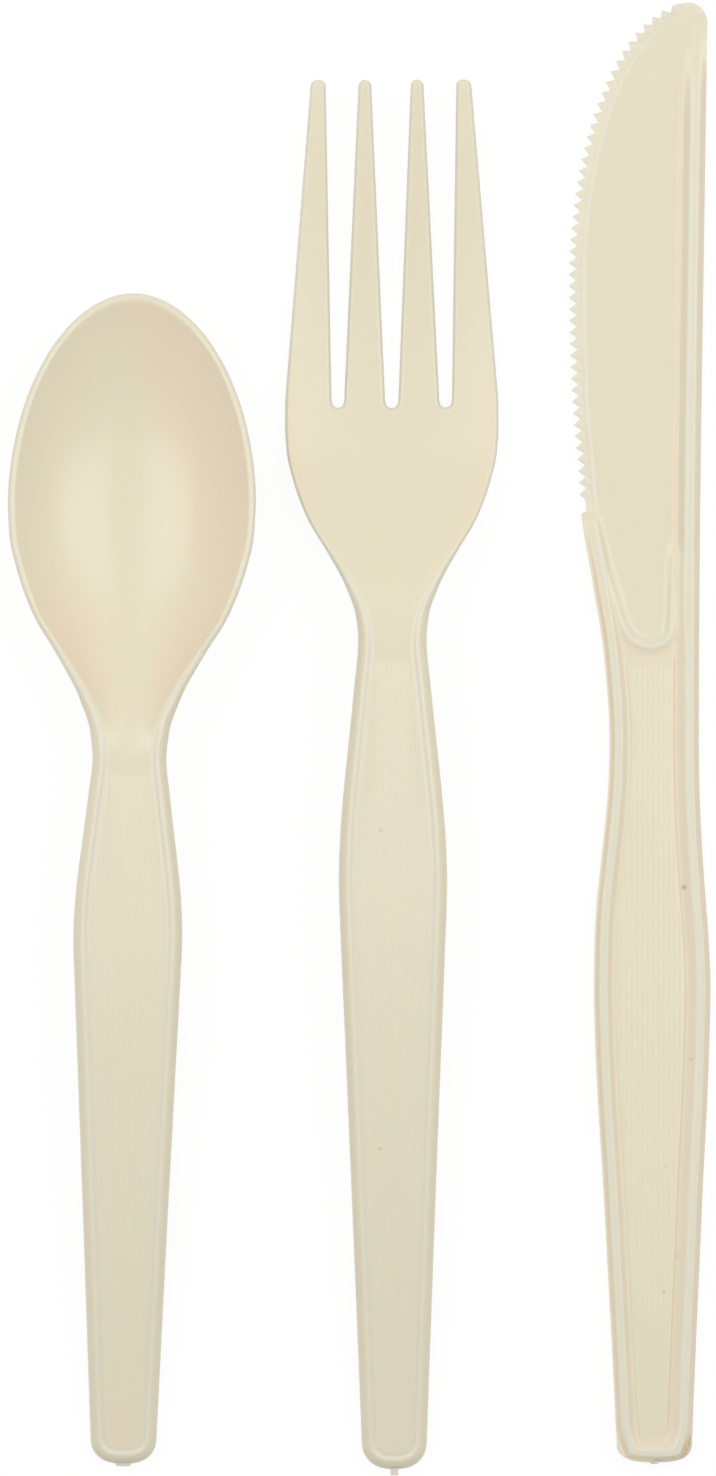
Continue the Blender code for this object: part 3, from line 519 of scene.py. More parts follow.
@dataclass
class ShellPiece(Piece):
    """A spoon or a fork: a thin wall whose edge turns down along the handle."""

    end_width: float
    end_round: float
    grip_length: float
    grip_width: float
    grip_height: float
    shoulder_length: float
    neck_width: float
    neck_height: float
    back_length: float
    head_width: float
    head_wall: float
    rim_round: float
    head_start: float
    rib_pitch: float
    rib_start: float
    rib_stop: float
    stub: tuple[float, float]
    rib_height: float = 0.00006
    rib_fade: float = 0.0007
    rib_blend: float = 0.0005
    panel_border: float = 0.0021
    wall: float = 0.0012
    flange_depth: float = 0.0026
    # Stub's underside and top, as shares of the flange's depth
    stub_span: Span = (0.25, 0.75)
    # Angle in degrees to which the rim's round edge turns up and down from level
    rim_turn: float = 84.0
    # Tone of the handle, and the length before the neck over which it fades out
    handle_tone: float = -0.25
    tone_fade: float = 0.02

    # Handle's edge, as (distance in from the outline, height over the panel)
    edge_profile = (
        (0.00200, -0.00003), (0.00187, -0.00009), (0.00174, -0.00012), (0.00160, -0.00007),
        (0.00145, 0.00005), (0.00130, 0.00012), (0.00113, 0.00010), (0.00092, 0.00000),
        (0.00068, -0.00017), (0.00044, -0.00040), (0.00023, -0.00068), (0.00008, -0.00098),
        (0.0, -0.00130), (0.0, -0.00190), (0.0, -0.00248), (0.00010, -0.00260),
        (0.00085, -0.00260), (0.00095, -0.00250), (0.00125, -0.00135),
    )

    # Painted highlight, in the cool colour, at each point of that edge: strongest on the rim's
    # crest
    edge_painted_highlight = (-0.5, -0.7, -0.8, -0.8, -0.8, -0.8, -0.6, -0.3, 0.0) + (0.0,) * 10

    @property
    def neck(self) -> float:
        """Place of the narrowest part of the neck."""
        return self.grip_length + self.shoulder_length

    @property
    def widest(self) -> float:
        """Place where the head is widest."""
        return self.neck + self.back_length

    def half_width_stations(self) -> StationList:
        """List half-widths from the handle's end to the widest part of the head.

        Returns:
            The stations, as (place along, half-width).
        """
        half_neck = self.neck_width / 2
        return (
            along(TAPER_CURVE, 0.0, self.grip_length, self.end_width / 2, self.grip_width / 2)
            + along(SHOULDER_CURVE, self.grip_length, self.neck, self.grip_width / 2, half_neck)
            + along(FLARE_CURVE, self.neck, self.widest, half_neck, self.head_width / 2)[1:]
        )

    def height_stations(self) -> StationList:
        """List heights of the top face from the handle's end to the neck.

        Returns:
            The stations, as (place along, height).
        """
        half_way = between(self.flange_depth, self.grip_height, HALF_WAY_RISE)
        return [
            (0.0, self.flange_depth),
            (self.grip_length / 2, half_way),
            (self.grip_length, self.grip_height),
            (self.neck, self.neck_height),
        ]

    def prepare(self, tip: float) -> None:
        """Work out how far the section has changed from the handle's to the head's.

        Args:
            tip: Place of the piece's tip.
        """
        head = self.neck + self.back_length * self.head_start
        past_tip = tip + 0.001
        self.head_share = smooth_curve(((0, 0), (self.neck, 0), (head, 1), (past_tip, 1)))

    def border(self, y: np.ndarray) -> np.ndarray:
        """Width of the moulded border between the outline and the panel."""
        return between(self.panel_border, self.rim_round, self.head_share(y))

    def panel_half_width(self, y: np.ndarray) -> np.ndarray:
        """Measure the panel inside the border, which stays as wide where the outline leans.

        Args:
            y: Places along the piece.

        Returns:
            The panel's half-widths.
        """
        rise = self.half_width(y + SLOPE_STEP) - self.half_width(y - SLOPE_STEP)
        slope = rise / (2 * SLOPE_STEP)
        return self.half_width(y) - self.border(y) * np.hypot(1, slope)

    def handle_end(self, u: np.ndarray, v: np.ndarray) -> tuple[np.ndarray, np.ndarray]:
        """Round the panel's points off in the handle's end.

        Args:
            u: Places across, from -1 to 1.
            v: Places along. Those up to end_round are rounded off.

        Returns:
            The places across and along.
        """
        x, y = round_end(u, np.clip((self.end_round - v) / self.end_round, 0, 1), END_POWER)
        y = self.end_round - y * (self.end_round - self.panel_border)
        return x * (self.half_width(y) - self.panel_border), y

    def handle_rows(self) -> np.ndarray:
        """Place the sheet's rows from the handle's end to the neck, close where ribs fade.

        Returns:
            The places along the piece.
        """
        fade, apart = self.rib_fade, 0.002
        return np.concatenate((
            np.linspace(0, self.end_round, 12)[:-1],
            np.linspace(self.end_round, self.rib_start - fade, 14),
            np.linspace(self.rib_start, self.rib_start + fade, 4),
            np.linspace(self.rib_start + apart, self.rib_stop - apart, 44),
            np.linspace(self.rib_stop - fade, self.rib_stop + fade, 6),
            np.linspace(self.rib_stop + 2 * fade, self.neck, 6)[:-1],
        ))

    def ribs(self, x: np.ndarray, y: np.ndarray) -> np.ndarray:
        """Work out the height of the ribs on the handle's panel.

        Args:
            x: Places across.
            y: Places along.

        Returns:
            The heights.
        """
        half_fade = self.rib_fade / 2
        in_panel = smooth_step(self.panel_half_width(y) - abs(x), 0.0, self.rib_blend)
        in_reach = rise_and_fall(
            y, around(self.rib_start, half_fade), around(self.rib_stop, half_fade))
        return rib_wave(x, self.rib_pitch, self.rib_height) * in_panel * in_reach

    def edge_sections(self, y: np.ndarray) -> np.ndarray:
        """Points round the edge at each y.

        Args:
            y: Places along the piece.

        Returns:
            Places by points by (distance in from the outline, height over the panel).
        """
        handle = np.array(self.edge_profile)
        angles = np.radians(np.linspace(self.rim_turn, -self.rim_turn, len(handle)))
        inward = self.rim_round * (1 - np.cos(angles))
        upward = self.head_wall / 2 * (np.sin(angles) - 1)
        head = np.stack((inward, upward), axis=1)
        share = self.head_share(y)[:, None, None]
        return handle + (head - handle) * share

    def shell(self, points: np.ndarray, is_open: Callable[[int, int], bool]) -> bmesh.types.BMesh:
        """Make the wall: a sheet, its ribs, its edge, its underside and its stub.

        Args:
            points: Points of the sheet, rows by columns.
            is_open: Says whether the cell at a column and a row is left out.

        Returns:
            The closed shell.
        """
        cells = points.shape[1] - 1
        bm = grid_of(points)
        bm.faces.ensure_lookup_table()
        holes = [face for i, face in enumerate(bm.faces) if is_open(i % cells, i // cells)]
        bmesh.ops.delete(bm, geom=holes, context="FACES")
        bm.normal_update()
        bm.edges.index_update()
        loop = boundary_loop(bm)
        sheet = list(bm.verts) + list(bm.edges) + list(bm.faces)
        copied = bmesh.ops.duplicate(bm, geom=sheet)["vert_map"]
        tops = [item for item in sheet if isinstance(item, bmesh.types.BMVert)]
        places = np.array([vertex.co for vertex in tops])
        normals = np.array([vertex.normal for vertex in tops])
        # Painted shade and painted highlight of the top face, kept as a vertex attribute
        painted_light = bm.verts.layers.float[PAINTED_LIGHT]
        for vertex, value in zip(tops, self.painted_shade_and_highlight(places, normals * np.sign(normals[:, 2:]))):
            vertex[painted_light] = value
        walls = between(self.wall, self.head_wall, self.head_share(places[:, 1]))
        ribs = self.ribs(places[:, 0], places[:, 1])
        for vertex, wall, rib in zip(tops, walls, ribs):
            copied[vertex].co.z = vertex.co.z - wall / max(abs(vertex.normal.z), LEAST_UPRIGHT)
            vertex.co.z += rib
        self.grow_edge(bm, loop, [copied[vertex] for vertex in loop])
        low, high = self.stub_span
        add_stub(bm, *self.stub, self.flange_depth * low, self.flange_depth * high)
        return bm

    def handle_tones(self, y: np.ndarray) -> np.ndarray:
        """Slightly cooler colour over the handle, toward the painted-highlight colour, fading out
        before the neck.
        """
        return self.handle_tone * (1 - smooth_step(y, self.neck - self.tone_fade, self.neck))

    @abstractmethod
    def painted_shade_and_highlight(self, places: np.ndarray, normals: np.ndarray) -> np.ndarray:
        """Painted shade and painted highlight at points of the top face, from their places and
        normals.
        """

    def grow_edge(self, bm: bmesh.types.BMesh, loop: Loop, underside: Loop) -> None:
        """Sweep the edge's section round the panel, over the edge and back to the underside.

        Args:
            bm: Mesh of the piece.
            loop: Vertices round the top face, in order.
            underside: Vertices below them, in the same order.
        """
        anchors = np.array([vertex.co for vertex in loop])
        normals = outward_normals(loop)
        painted_light = bm.verts.layers.float[PAINTED_LIGHT]
        sections = self.edge_sections(anchors[:, 1])
        borders = self.border(anchors[:, 1])
        ring = loop
        for place in range(sections.shape[1]):
            ring = extrude_loop(bm, ring)
            reach = borders - sections[:, place, 0]
            flat = anchors[:, :2] + normals * reach[:, None]
            heights = anchors[:, 2] + sections[:, place, 1]
            for vertex, (x, y), z in zip(ring, flat, heights):
                vertex.co = (x, y, z)
                # Painted highlight round the rim's crest
                vertex[painted_light] = self.edge_painted_highlight[place]
        ring = extrude_loop(bm, ring)
        bmesh.ops.weld_verts(bm, targetmap=dict(zip(ring, underside)))


@dataclass
class Spoon(ShellPiece):
    """Spoon with an oval bowl."""

    front_length: float = 0.0275
    bowl_depth: float = 0.0067
    tip_drop: float = 0.0005
    bowl_power: float = 1.93
    section_power: float = 2.3
    # Powers that shape the bowl's back, where it fades out towards the neck
    back_power: float = 2.2
    back_fade: float = 1.5
    columns: int = 119

    # Direction from the bowl's middle to its front right; the walls there, turned away from it and
    # from the light, get painted shade
    shaded_side: Span = (0.8, 0.6)
    # Slopes over which painted shade sets in on that side and on the neck's walls
    shaded_slopes: Span = (0.10, 0.32)
    neck_slopes: Span = (0.18, 0.40)
    # Distances past the neck over which the tones set in and end
    bowl_starts: Span = (0.012, 0.022)
    neck_starts: Span = (0.004, 0.010)
    neck_stops: Span = (0.018, 0.026)
    # Painted shade, in the warm colour, at the handle's end, where less light falls, and the places
    # over which it fades out
    end_shade: float = 0.9
    end_fade: Span = (0.004, 0.016)

    def shape(self) -> bmesh.types.BMesh:
        """Shape the spoon along +Y from its handle's end.

        Returns:
            The closed shell.
        """
        tip = self.widest + self.front_length
        rim = self.bowl_depth + self.head_wall
        self.prepare(tip)
        self.half_width = smooth_curve(self.half_width_stations())
        rim_heights = [(self.widest, rim), (tip, rim - self.tip_drop)]
        self.height = smooth_curve(self.height_stations() + rim_heights)
        rows = np.concatenate((
            self.handle_rows(),
            np.linspace(self.neck, self.widest, 44)[:-1],
            np.linspace(self.widest, tip, 38),
        ))
        u, v = np.meshgrid(np.linspace(-1, 1, self.columns), rows)
        end_x, end_y = self.handle_end(u, v)
        ahead = np.clip((v - self.widest) / self.front_length, 0, 1)
        front_x, front_y = round_end(u, ahead, self.bowl_power)
        front_x = front_x * (self.head_width / 2 - self.rim_round)
        front_y = self.widest + front_y * (self.front_length - self.rim_round)
        in_end, in_front = v < self.end_round, v > self.widest
        x = np.where(in_end, end_x, np.where(in_front, front_x, u * self.panel_half_width(v)))
        y = np.where(in_end, end_y, np.where(in_front, front_y, v))
        z = self.height(y) - self.hollow(u, v)
        return self.shell(np.stack((x, y, z), axis=-1), lambda column, row: False)

    def painted_shade_and_highlight(self, places: np.ndarray, normals: np.ndarray) -> np.ndarray:
        """Paint shade, in the warm colour, on the bowl's front and right walls, on both of its
        walls next to the neck and on the handle's end.

        Args:
            places: Points of the top face.
            normals: Their normals, which point up.

        Returns:
            The tone at each point.
        """
        y = places[:, 1]
        turned_away = -(normals[:, :2] * self.shaded_side).sum(axis=1)
        in_bowl = smooth_step(y, *past(self.neck, self.bowl_starts))
        at_neck = rise_and_fall(
            y, past(self.neck, self.neck_starts), past(self.neck, self.neck_stops))
        # Painted shade on walls turned away from the light
        front = smooth_step(turned_away, *self.shaded_slopes) * in_bowl
        walls = smooth_step(abs(normals[:, 0]), *self.neck_slopes) * at_neck
        end = self.end_shade * (1 - smooth_step(y, *self.end_fade))
        return np.maximum(front, walls) + self.handle_tones(y) + end

    def hollow(self, u: np.ndarray, v: np.ndarray) -> np.ndarray:
        """Work out the depth of the bowl under its rim.

        Args:
            u: Places across, from -1 to 1.
            v: Places along.

        Returns:
            The depths, which are 0 outside the bowl.
        """
        back = np.clip((self.widest - v) / self.back_length, 0, 1)
        fade = (1 - back ** self.back_power) ** self.back_fade
        behind = fade * (1 - abs(u) ** self.section_power)
        t = np.clip((v - self.widest) / self.front_length, 0, 1)
        reach = np.hypot(u * np.sqrt(1 - t * t / 2), t * np.sqrt(1 - u * u / 2))
        ahead = 1 - np.minimum(reach, 1.0) ** self.section_power
        return self.bowl_depth * np.where(v > self.widest, ahead, behind) * (v > self.neck)


@dataclass
class Fork(ShellPiece):
    """Fork with four tapering tines."""

    root_distance: float = 0.0031
    tine_length: float = 0.0418
    tip_width: float = 0.0208
    tip_height: float = 0.0058
    head_rise: float = 0.06
    dish: float = 0.0009
    middle_slot: tuple[float, float] = (0.00170, 0.00516)
    side_slot: tuple[float, float] = (0.00162, 0.00428)
    side_slot_centre: tuple[float, float] = (0.00702, 0.00635)
    tine_cells: int = 30
    slot_cells: int = 12
    root_blend: float = 0.004
    tip_round: float = 0.0008
    tip_power: float = 2.5
    # Share of the tines' length after which they begin to rise
    low_share: float = 0.125

    # Shares of the half-width over which painted shade, in the warm colour, covers the head's
    # sides, and its strength
    side_shares: Span = (0.78, 0.95)
    side_shade: float = 0.9
    # Distances past the neck, and past the slots' roots, over which that sets in and ends
    head_starts: Span = (0.010, 0.018)
    head_stops: Span = (-0.001, 0.006)
    # The fork's handle is cooler than the spoon's by this factor
    handle_cooling: float = 1.6

    @property
    def root(self) -> float:
        """Place of the slots' roots."""
        return self.widest + self.root_distance

    def shape(self) -> bmesh.types.BMesh:
        """Shape the fork along +Y from its handle's end.

        Returns:
            The closed shell.
        """
        root = self.root
        tip = root + self.tine_length
        self.prepare(tip)
        self.half_width = smooth_curve(self.half_width_stations() + [(tip, self.tip_width / 2)])
        self.height = smooth_curve(self.height_stations() + [
            (self.widest, between(self.head_wall, self.neck_height, self.head_rise)),
            (root + self.tine_length * self.low_share, self.head_wall),
            (tip, self.tip_height),
        ])
        rows = np.concatenate((
            self.handle_rows(),
            np.linspace(self.neck, root - self.root_blend, 30)[:-1],
            np.linspace(root - self.root_blend, root, 14)[:-1],
            np.linspace(root, tip - self.tip_round, 44)[:-1],
            np.linspace(tip - self.tip_round, tip, 8),
        ))
        root_row = int(np.argmin(abs(rows - root)))
        lines, open_cells = self.lines()
        at_root, at_tip, middle, radius = (line[None, :] for line in lines.T)
        v = rows[:, None] + 0 * at_root
        u = at_root / at_root[0, -1] + 0 * v
        end_x, end_y = self.handle_end(u, v)
        on_tines = np.clip((v - root) / self.tine_length, 0, 1)
        in_end, in_tines = v < self.end_round, v > root
        x = np.where(in_end, end_x, u * self.panel_half_width(v))
        x = np.where(in_tines, between(at_root, at_tip, on_tines), x)
        y = np.where(in_end, end_y, v)
        blend = np.clip((v - root + self.root_blend) / self.root_blend, 0, 1) ** 2
        closing = blend * (v <= root + ROW_SLACK)
        y = y - closing * np.sqrt(np.maximum(radius ** 2 - (at_root - middle) ** 2, 0.0))
        x, y = self.rounded_tips(x, y, v, tip)
        rise = self.dish * (x / self.panel_half_width(np.array(root))) ** 2 * self.head_share(y)
        points = np.stack((x, y, self.height(y) + rise), axis=-1)
        return self.shell(points, lambda column, row: row >= root_row and column in open_cells)

    def painted_shade_and_highlight(self, places: np.ndarray, normals: np.ndarray) -> np.ndarray:
        """Paint shade, in the warm colour, in a band along both sides of the head.

        Args:
            places: Points of the top face.
            normals: Their normals, which the fork's tones don't depend on.

        Returns:
            The tone at each point.
        """
        x, y = places[:, 0], places[:, 1]
        in_head = rise_and_fall(
            y, past(self.neck, self.head_starts), past(self.root, self.head_stops))
        at_side = smooth_step(abs(x) / self.panel_half_width(y), *self.side_shares)
        return self.side_shade * at_side * in_head + self.handle_cooling * self.handle_tones(y)

    def lines(self) -> tuple[np.ndarray, set[int]]:
        """Column lines of the sheet, and the cells between them that are slots.

        Returns:
            Lines by (x at the slots' roots, x at the tips, middle and radius of its slot), a
            rim's width outside each slot's own edges, and the columns of the slots' cells.
        """
        rim = self.rim_round
        centre_root, centre_tip = self.side_slot_centre
        slots = (
            (-centre_root, -centre_tip, self.side_slot),
            (0.0, 0.0, self.middle_slot),
            (centre_root, centre_tip, self.side_slot),
        )
        side = (self.head_width / 2 - rim, self.tip_width / 2 - rim)
        lines, open_cells = [(-side[0], -side[1], 0.0, 0.0)], set()
        for at_root, at_tip, (root_width, tip_width) in slots:
            radius, half_tip = root_width / 2 + rim, tip_width / 2 + rim
            self.add_lines(lines, at_root - radius, at_tip - half_tip, self.tine_cells, 0.0, 0.0)
            open_cells.update(range(len(lines) - 1, len(lines) - 1 + self.slot_cells))
            self.add_lines(lines, at_root + radius, at_tip + half_tip, self.slot_cells, at_root,
                           radius)
        self.add_lines(lines, *side, self.tine_cells, 0.0, 0.0)
        return np.array(lines), open_cells

    @staticmethod
    def add_lines(lines: list, at_root: float, at_tip: float, cells: int, middle: float,
                  radius: float) -> None:
        """Add evenly spaced lines from the last line to a new one.

        Args:
            lines: The lines so far.
            at_root: Place of the new line at the slots' roots.
            at_tip: Its place at the tips.
            cells: How many cells lie between the two.
            middle: Middle of the slot that the cells are in, or 0 in a tine.
            radius: Radius of that slot's root, or 0 in a tine.
        """
        last_root, last_tip = lines[-1][:2]
        for share in np.linspace(0, 1, cells + 1)[1:]:
            lines.append((between(last_root, at_root, share), between(last_tip, at_tip, share),
                          middle, radius))

    def rounded_tips(self, x: np.ndarray, y: np.ndarray, v: np.ndarray,
                     tip: float) -> tuple[np.ndarray, np.ndarray]:
        """Draw the last rows of each tine together into a round tip.

        Args:
            x: Places across.
            y: Places along.
            v: Rows' places before any rounding.
            tip: Place of the tines' tips.

        Returns:
            The new places across and along.
        """
        start = 0
        rows = np.where(v[:, 0] > tip - self.tip_round - ROW_SLACK)[0]
        t = ((v[rows, :1] - tip) / self.tip_round + 1).clip(0, 1)
        for _ in range(4):
            stop = start + self.tine_cells
            part = x[rows, start:stop + 1]
            middle = (part[:, :1] + part[:, -1:]) / 2
            half = (part[:, -1:] - part[:, :1]) / 2
            across, out = round_end((part - middle) / half, t + 0 * part, self.tip_power)
            x[rows, start:stop + 1] = middle + across * half
            y[rows, start:stop + 1] = tip - self.tip_round + out * (self.tip_round - self.rim_round)
            start = stop + self.slot_cells
        return x, y


@dataclass
class Knife(Piece):
    """Flat knife, the same on both faces, with a serrated blade and a rimmed handle."""

    end_half_width: float = 0.0048
    end_round: float = 0.0026
    grip_length: float = 0.0618
    grip_left: float = 0.0079
    grip_right: float = 0.0073
    neck_distance: float = 0.0325
    neck_left: float = 0.00585
    neck_right: float = 0.00578
    heel_distance: float = 0.0292
    heel_left: float = 0.00953
    belly_distance: float = 0.0297
    belly_left: float = 0.0112
    front_length: float = 0.0368
    tip_right: float = 0.0046
    spine_right: float = 0.0069
    tip_corner: float = 0.0028
    rim_width: float = 0.0022
    rim_half: float = 0.0015
    plate_half: float = 0.00085
    web_half: float = 0.0005
    heel_fade: float = 0.018
    pad_rise: float = 0.00017
    pad_start: float = 0.0033
    pad_stop: float = 0.1046
    lip_width: float = 0.0011
    lip_distance: float = 0.0118
    lip_half: float = 0.00112
    lip_slope: float = 0.0016
    rib_pitch: float = 0.00069
    rib_height: float = 0.00006
    rib_start: float = 0.0176
    rib_stop: float = 0.1035
    first_tooth: float = 0.0025
    last_tooth: float = 0.0013
    heel_notch: float = 0.0007
    tooth_pitch: float = 0.00151
    tooth_depth: float = 0.00100
    stub: Span = (0.0011, 0.0002)
    columns: int = 125

    # How far from the edge the gaps between the teeth draw the sheet in
    tooth_reach: float = 0.0017
    # Close rows round the lip: how far they start before its lowest place, and their length
    fine_before: float = 0.0035
    fine_length: float = 0.0085
    # Power that keeps the tip's rounded corner to the blade's last rows
    corner_power: int = 24
    # Distances past the lip's lowest place over which the rim turns into the spine
    spine_starts: Span = (-0.002, 0.008)
    # Distances past the heel over which the web and the cutting edge set in
    web_starts: Span = (-0.0015, 0.001)
    edge_starts: Span = (-0.0008, 0.0)
    # Distances from the tip over which the spine fades out
    tip_stops: Span = (0.003, 0.016)
    # Lip: how far its slope reaches out of the web, its crest's width and its ends' height,
    # both as shares
    web_overlap: float = 0.0001
    crest_share: float = 0.5
    lip_ends: float = 0.25
    # Pad: distances in from the outline at the left and right, and the slopes of its sides and
    # top end
    pad_insets: Span = (0.0028, 0.0032)
    pad_slope: Span = (-0.0001, 0.0002)
    pad_fade: float = 0.0002
    # Ribs: distances in from the pad's side over which they set in, and half their ends' fade
    rib_inset: Span = (0.0003, 0.0006)
    rib_fade: float = 0.0003

    # Notch at the heel, as (share of the first tooth's distance, share of the notch's depth)
    notch_profile = ((0.0, 0.0), (0.08, 1.0), (0.4, 1.0), (0.7, 1.0), (0.85, 0.5))
    # Depth between two teeth at each quarter of their pitch, as a share
    tooth_profile = (0.0, 0.5, 1.0, 0.5)

    # Share of the rim's rise by the distance in from the outline, on the handle's left and
    # right sides and on the blade's spine. A negative share is a groove
    left_rim = (
        (0.0, 0.06), (0.0002, 0.16), (0.0004, 0.36), (0.00055, 0.63), (0.00072, 0.90),
        (0.0009, 0.98), (0.00102, 1.0), (0.0012, 0.975), (0.00138, 0.985), (0.0015, 1.0),
        (0.00162, 0.98), (0.0018, 0.84), (0.0020, 0.58), (0.0022, 0.33), (0.0024, 0.14),
        (0.0026, 0.04), (0.0029, 0.0), (0.01, 0.0),
    )
    right_rim = (
        (0.0, -0.85), (0.0002, -0.34), (0.0004, 0.20), (0.00055, 0.62), (0.00068, 0.92),
        (0.0008, 1.0), (0.001, 0.96), (0.00125, 0.97), (0.00142, 1.0), (0.00155, 0.97),
        (0.0018, 0.82), (0.0021, 0.55), (0.0024, 0.28), (0.0027, 0.03), (0.0029, -0.12),
        (0.00305, -0.17), (0.0032, -0.12), (0.0034, 0.0), (0.01, 0.0),
    )
    spine_rim = (
        (0.0, -0.36), (0.0002, 0.02), (0.0004, 0.40), (0.0006, 0.72), (0.0008, 0.93),
        (0.00095, 0.99), (0.00106, 1.0), (0.0013, 0.96), (0.0016, 0.97), (0.0018, 1.0),
        (0.00192, 0.98), (0.0021, 0.86), (0.0024, 0.58), (0.0027, 0.32), (0.00295, 0.16),
        (0.0031, 0.115), (0.00325, 0.105), (0.0034, 0.09), (0.0036, 0.05), (0.0039, 0.02),
        (0.0044, 0.0), (0.01, 0.0),
    )
    # Thickening next to the cutting edge by the distance in from the teeth's tips
    bevel = (
        (0.0, -0.00024), (0.0009, -0.00016), (0.0013, -0.00010), (0.0016, -0.00002),
        (0.00175, 0.00004), (0.0019, 0.00007), (0.00205, 0.00004), (0.0022, 0.0), (0.01, 0.0),
    )
    # Painted shade (positive, warm, in grooves and on outer slopes) and painted highlight
    # (negative, cool, on crests) by the distance in from the outline, out from the lip, and in from
    # the teeth's tips
    left_painted_light = (
        (0.0, 0.6), (0.0004, 0.8), (0.0007, 0.2), (0.0010, -0.8), (0.0015, -0.9), (0.0018, 0.2),
        (0.0022, 0.9), (0.0026, 0.8), (0.0031, 0.0), (0.01, 0.0),
    )
    right_painted_light = (
        (0.0, 1.0), (0.0004, 1.0), (0.0007, 0.2), (0.0009, -0.8), (0.0017, -0.9), (0.0020, 0.2),
        (0.0024, 0.8), (0.0033, 0.8), (0.0040, 0.0), (0.01, 0.0),
    )
    spine_painted_light = (
        (0.0, 0.8), (0.0005, 0.8), (0.0008, -0.3), (0.0012, -0.9), (0.0021, -0.9), (0.0024, 0.3),
        (0.0028, 1.0), (0.0035, 1.0), (0.0041, 0.0), (0.01, 0.0),
    )
    lip_painted_light = (
        (-0.01, 0.0), (-0.0012, 0.0), (-0.0005, -0.8), (0.0003, -0.8), (0.0007, 0.3),
        (0.0012, 0.8), (0.0020, 0.6), (0.0028, 0.0), (0.03, 0.0),
    )
    bevel_painted_light = (
        (0.0, -0.8), (0.0008, -0.8), (0.0012, 0.5), (0.0015, 0.5), (0.0018, -0.9),
        (0.0020, -0.9), (0.0024, 0.0), (0.01, 0.0),
    )

    def shape(self) -> bmesh.types.BMesh:
        """Shape the knife along +Y from its handle's end.

        Returns:
            The closed plate.
        """
        self.plan()
        points = self.sheet()
        half, painted_shade_and_highlight = self.thickness_and_painted_light(points)
        bm = grid_of(np.dstack((self.toothed(points), half)), painted_shade_and_highlight)
        bm.edges.index_update()
        loop = boundary_loop(bm)
        sheet = list(bm.verts) + list(bm.edges) + list(bm.faces)
        copied = bmesh.ops.duplicate(bm, geom=sheet)["vert_map"]
        lower = [copied[item] for item in sheet if isinstance(item, bmesh.types.BMVert)]
        bmesh.ops.scale(bm, vec=(1.0, 1.0, -1.0), verts=lower)
        side = extrude_loop(bm, loop)
        bmesh.ops.weld_verts(bm, targetmap={new: copied[old] for new, old in zip(side, loop)})
        add_stub(bm, *self.stub, -self.rim_half / 2, self.rim_half / 2)
        return bm

    def plan(self) -> None:
        """Work out the outline's curves and the places where the knife's parts begin."""
        self.neck = self.grip_length + self.neck_distance
        self.heel = self.neck + self.heel_distance
        self.belly = self.heel + self.belly_distance
        self.tip = self.belly + self.front_length
        grip = (0.0, self.grip_length, self.end_half_width)
        shoulder = (self.grip_length, self.neck)
        self.left_edge = smooth_curve(
            along(KNIFE_TAPER_CURVE, *grip, self.grip_left)
            + along(KNIFE_LEFT_SHOULDER_CURVE, *shoulder, self.grip_left, self.neck_left)
            + along(HEEL_CURVE, self.neck, self.heel, self.neck_left, self.heel_left)
            + along(BELLY_CURVE, self.heel, self.belly, self.heel_left, self.belly_left)
        )
        self.right_edge = smooth_curve(
            along(KNIFE_TAPER_CURVE, *grip, self.grip_right)
            + along(KNIFE_RIGHT_SHOULDER_CURVE, *shoulder, self.grip_right, self.neck_right)
            + [(self.tip, self.spine_right)]
        )
        self.edge_points, self.gaps = self.cutting_edge()

    def edge(self, side: Side, y: np.ndarray) -> np.ndarray:
        """Find the outline's left or right edge.

        Args:
            side: The side.
            y: Places along the knife.

        Returns:
            X of the edge at each place.
        """
        if side is Side.RIGHT:
            return self.right_edge(y)
        t = np.clip((y - self.belly) / self.front_length, 0, 1)
        front = self.tip_right - (self.tip_right + self.belly_left) * np.sqrt(1 - t * t)
        return np.where(y > self.belly, front, -self.left_edge(y))

    def cutting_edge(self) -> tuple[np.ndarray, np.ndarray]:
        """Place points along the cutting edge from the heel to the tip.

        Returns:
            The points, with one for each step of a tooth, and the depth of the gap at each.
        """
        turns = np.radians(np.linspace(0, 90, 600))
        straight = np.linspace(self.heel, self.belly, 400)[:-1]
        y = np.concatenate((straight, self.belly + self.front_length * np.sin(turns)))
        line = np.stack((self.edge(Side.LEFT, y), y), axis=1)
        line[-1, 0] = self.tip_right
        lengths = np.concatenate(([0.0], np.cumsum(np.linalg.norm(np.diff(line, axis=0), axis=1))))
        count = int((lengths[-1] - self.first_tooth - self.last_tooth) // self.tooth_pitch)
        shares, notch_depths = np.array(self.notch_profile).T
        steps = len(self.tooth_profile)
        teeth = self.first_tooth + np.arange(steps * count + 1) / steps * self.tooth_pitch
        end = np.linspace(teeth[-1], lengths[-1], 8)[1:]
        marks = np.concatenate((self.first_tooth * shares, teeth, end))
        depths = np.concatenate((
            self.heel_notch * notch_depths,
            self.tooth_depth * np.tile(self.tooth_profile, count),
            (0.0,),
            0 * end,
        ))
        places = np.stack([np.interp(marks, lengths, line[:, axis]) for axis in (0, 1)], axis=1)
        return places, depths

    def sheet(self) -> np.ndarray:
        """Place the points of the upper face as seen from above, without the teeth.

        Returns:
            The points, rows by columns by (x, y).
        """
        share = np.linspace(0, 1, self.columns)
        fine_start = self.neck + self.lip_distance - self.fine_before
        fine_stop = fine_start + self.fine_length
        v = np.concatenate((
            np.linspace(0, self.end_round, 13)[:-1],
            np.linspace(self.end_round, self.rib_start - 0.0005, 16),
            np.linspace(self.rib_start, fine_start, 56)[:-1],
            np.linspace(fine_start, fine_stop, 46)[:-1],
            np.linspace(fine_stop, self.heel, 24)[:-1],
        ))[:, None] + 0 * share
        u = 2 * share[None, :] - 1 + 0 * v
        across, out = round_end(u, np.clip(1 - v / self.end_round, 0, 1), END_POWER)
        in_end = v < self.end_round
        y = np.where(in_end, self.end_round * (1 - out), v)
        left, right = self.edge(Side.LEFT, y), self.edge(Side.RIGHT, y)
        round_x = np.where(across < 0, -across * left, across * right)
        x = np.where(in_end, round_x, between(left, right, share))
        handle = np.stack((x, y), axis=-1)

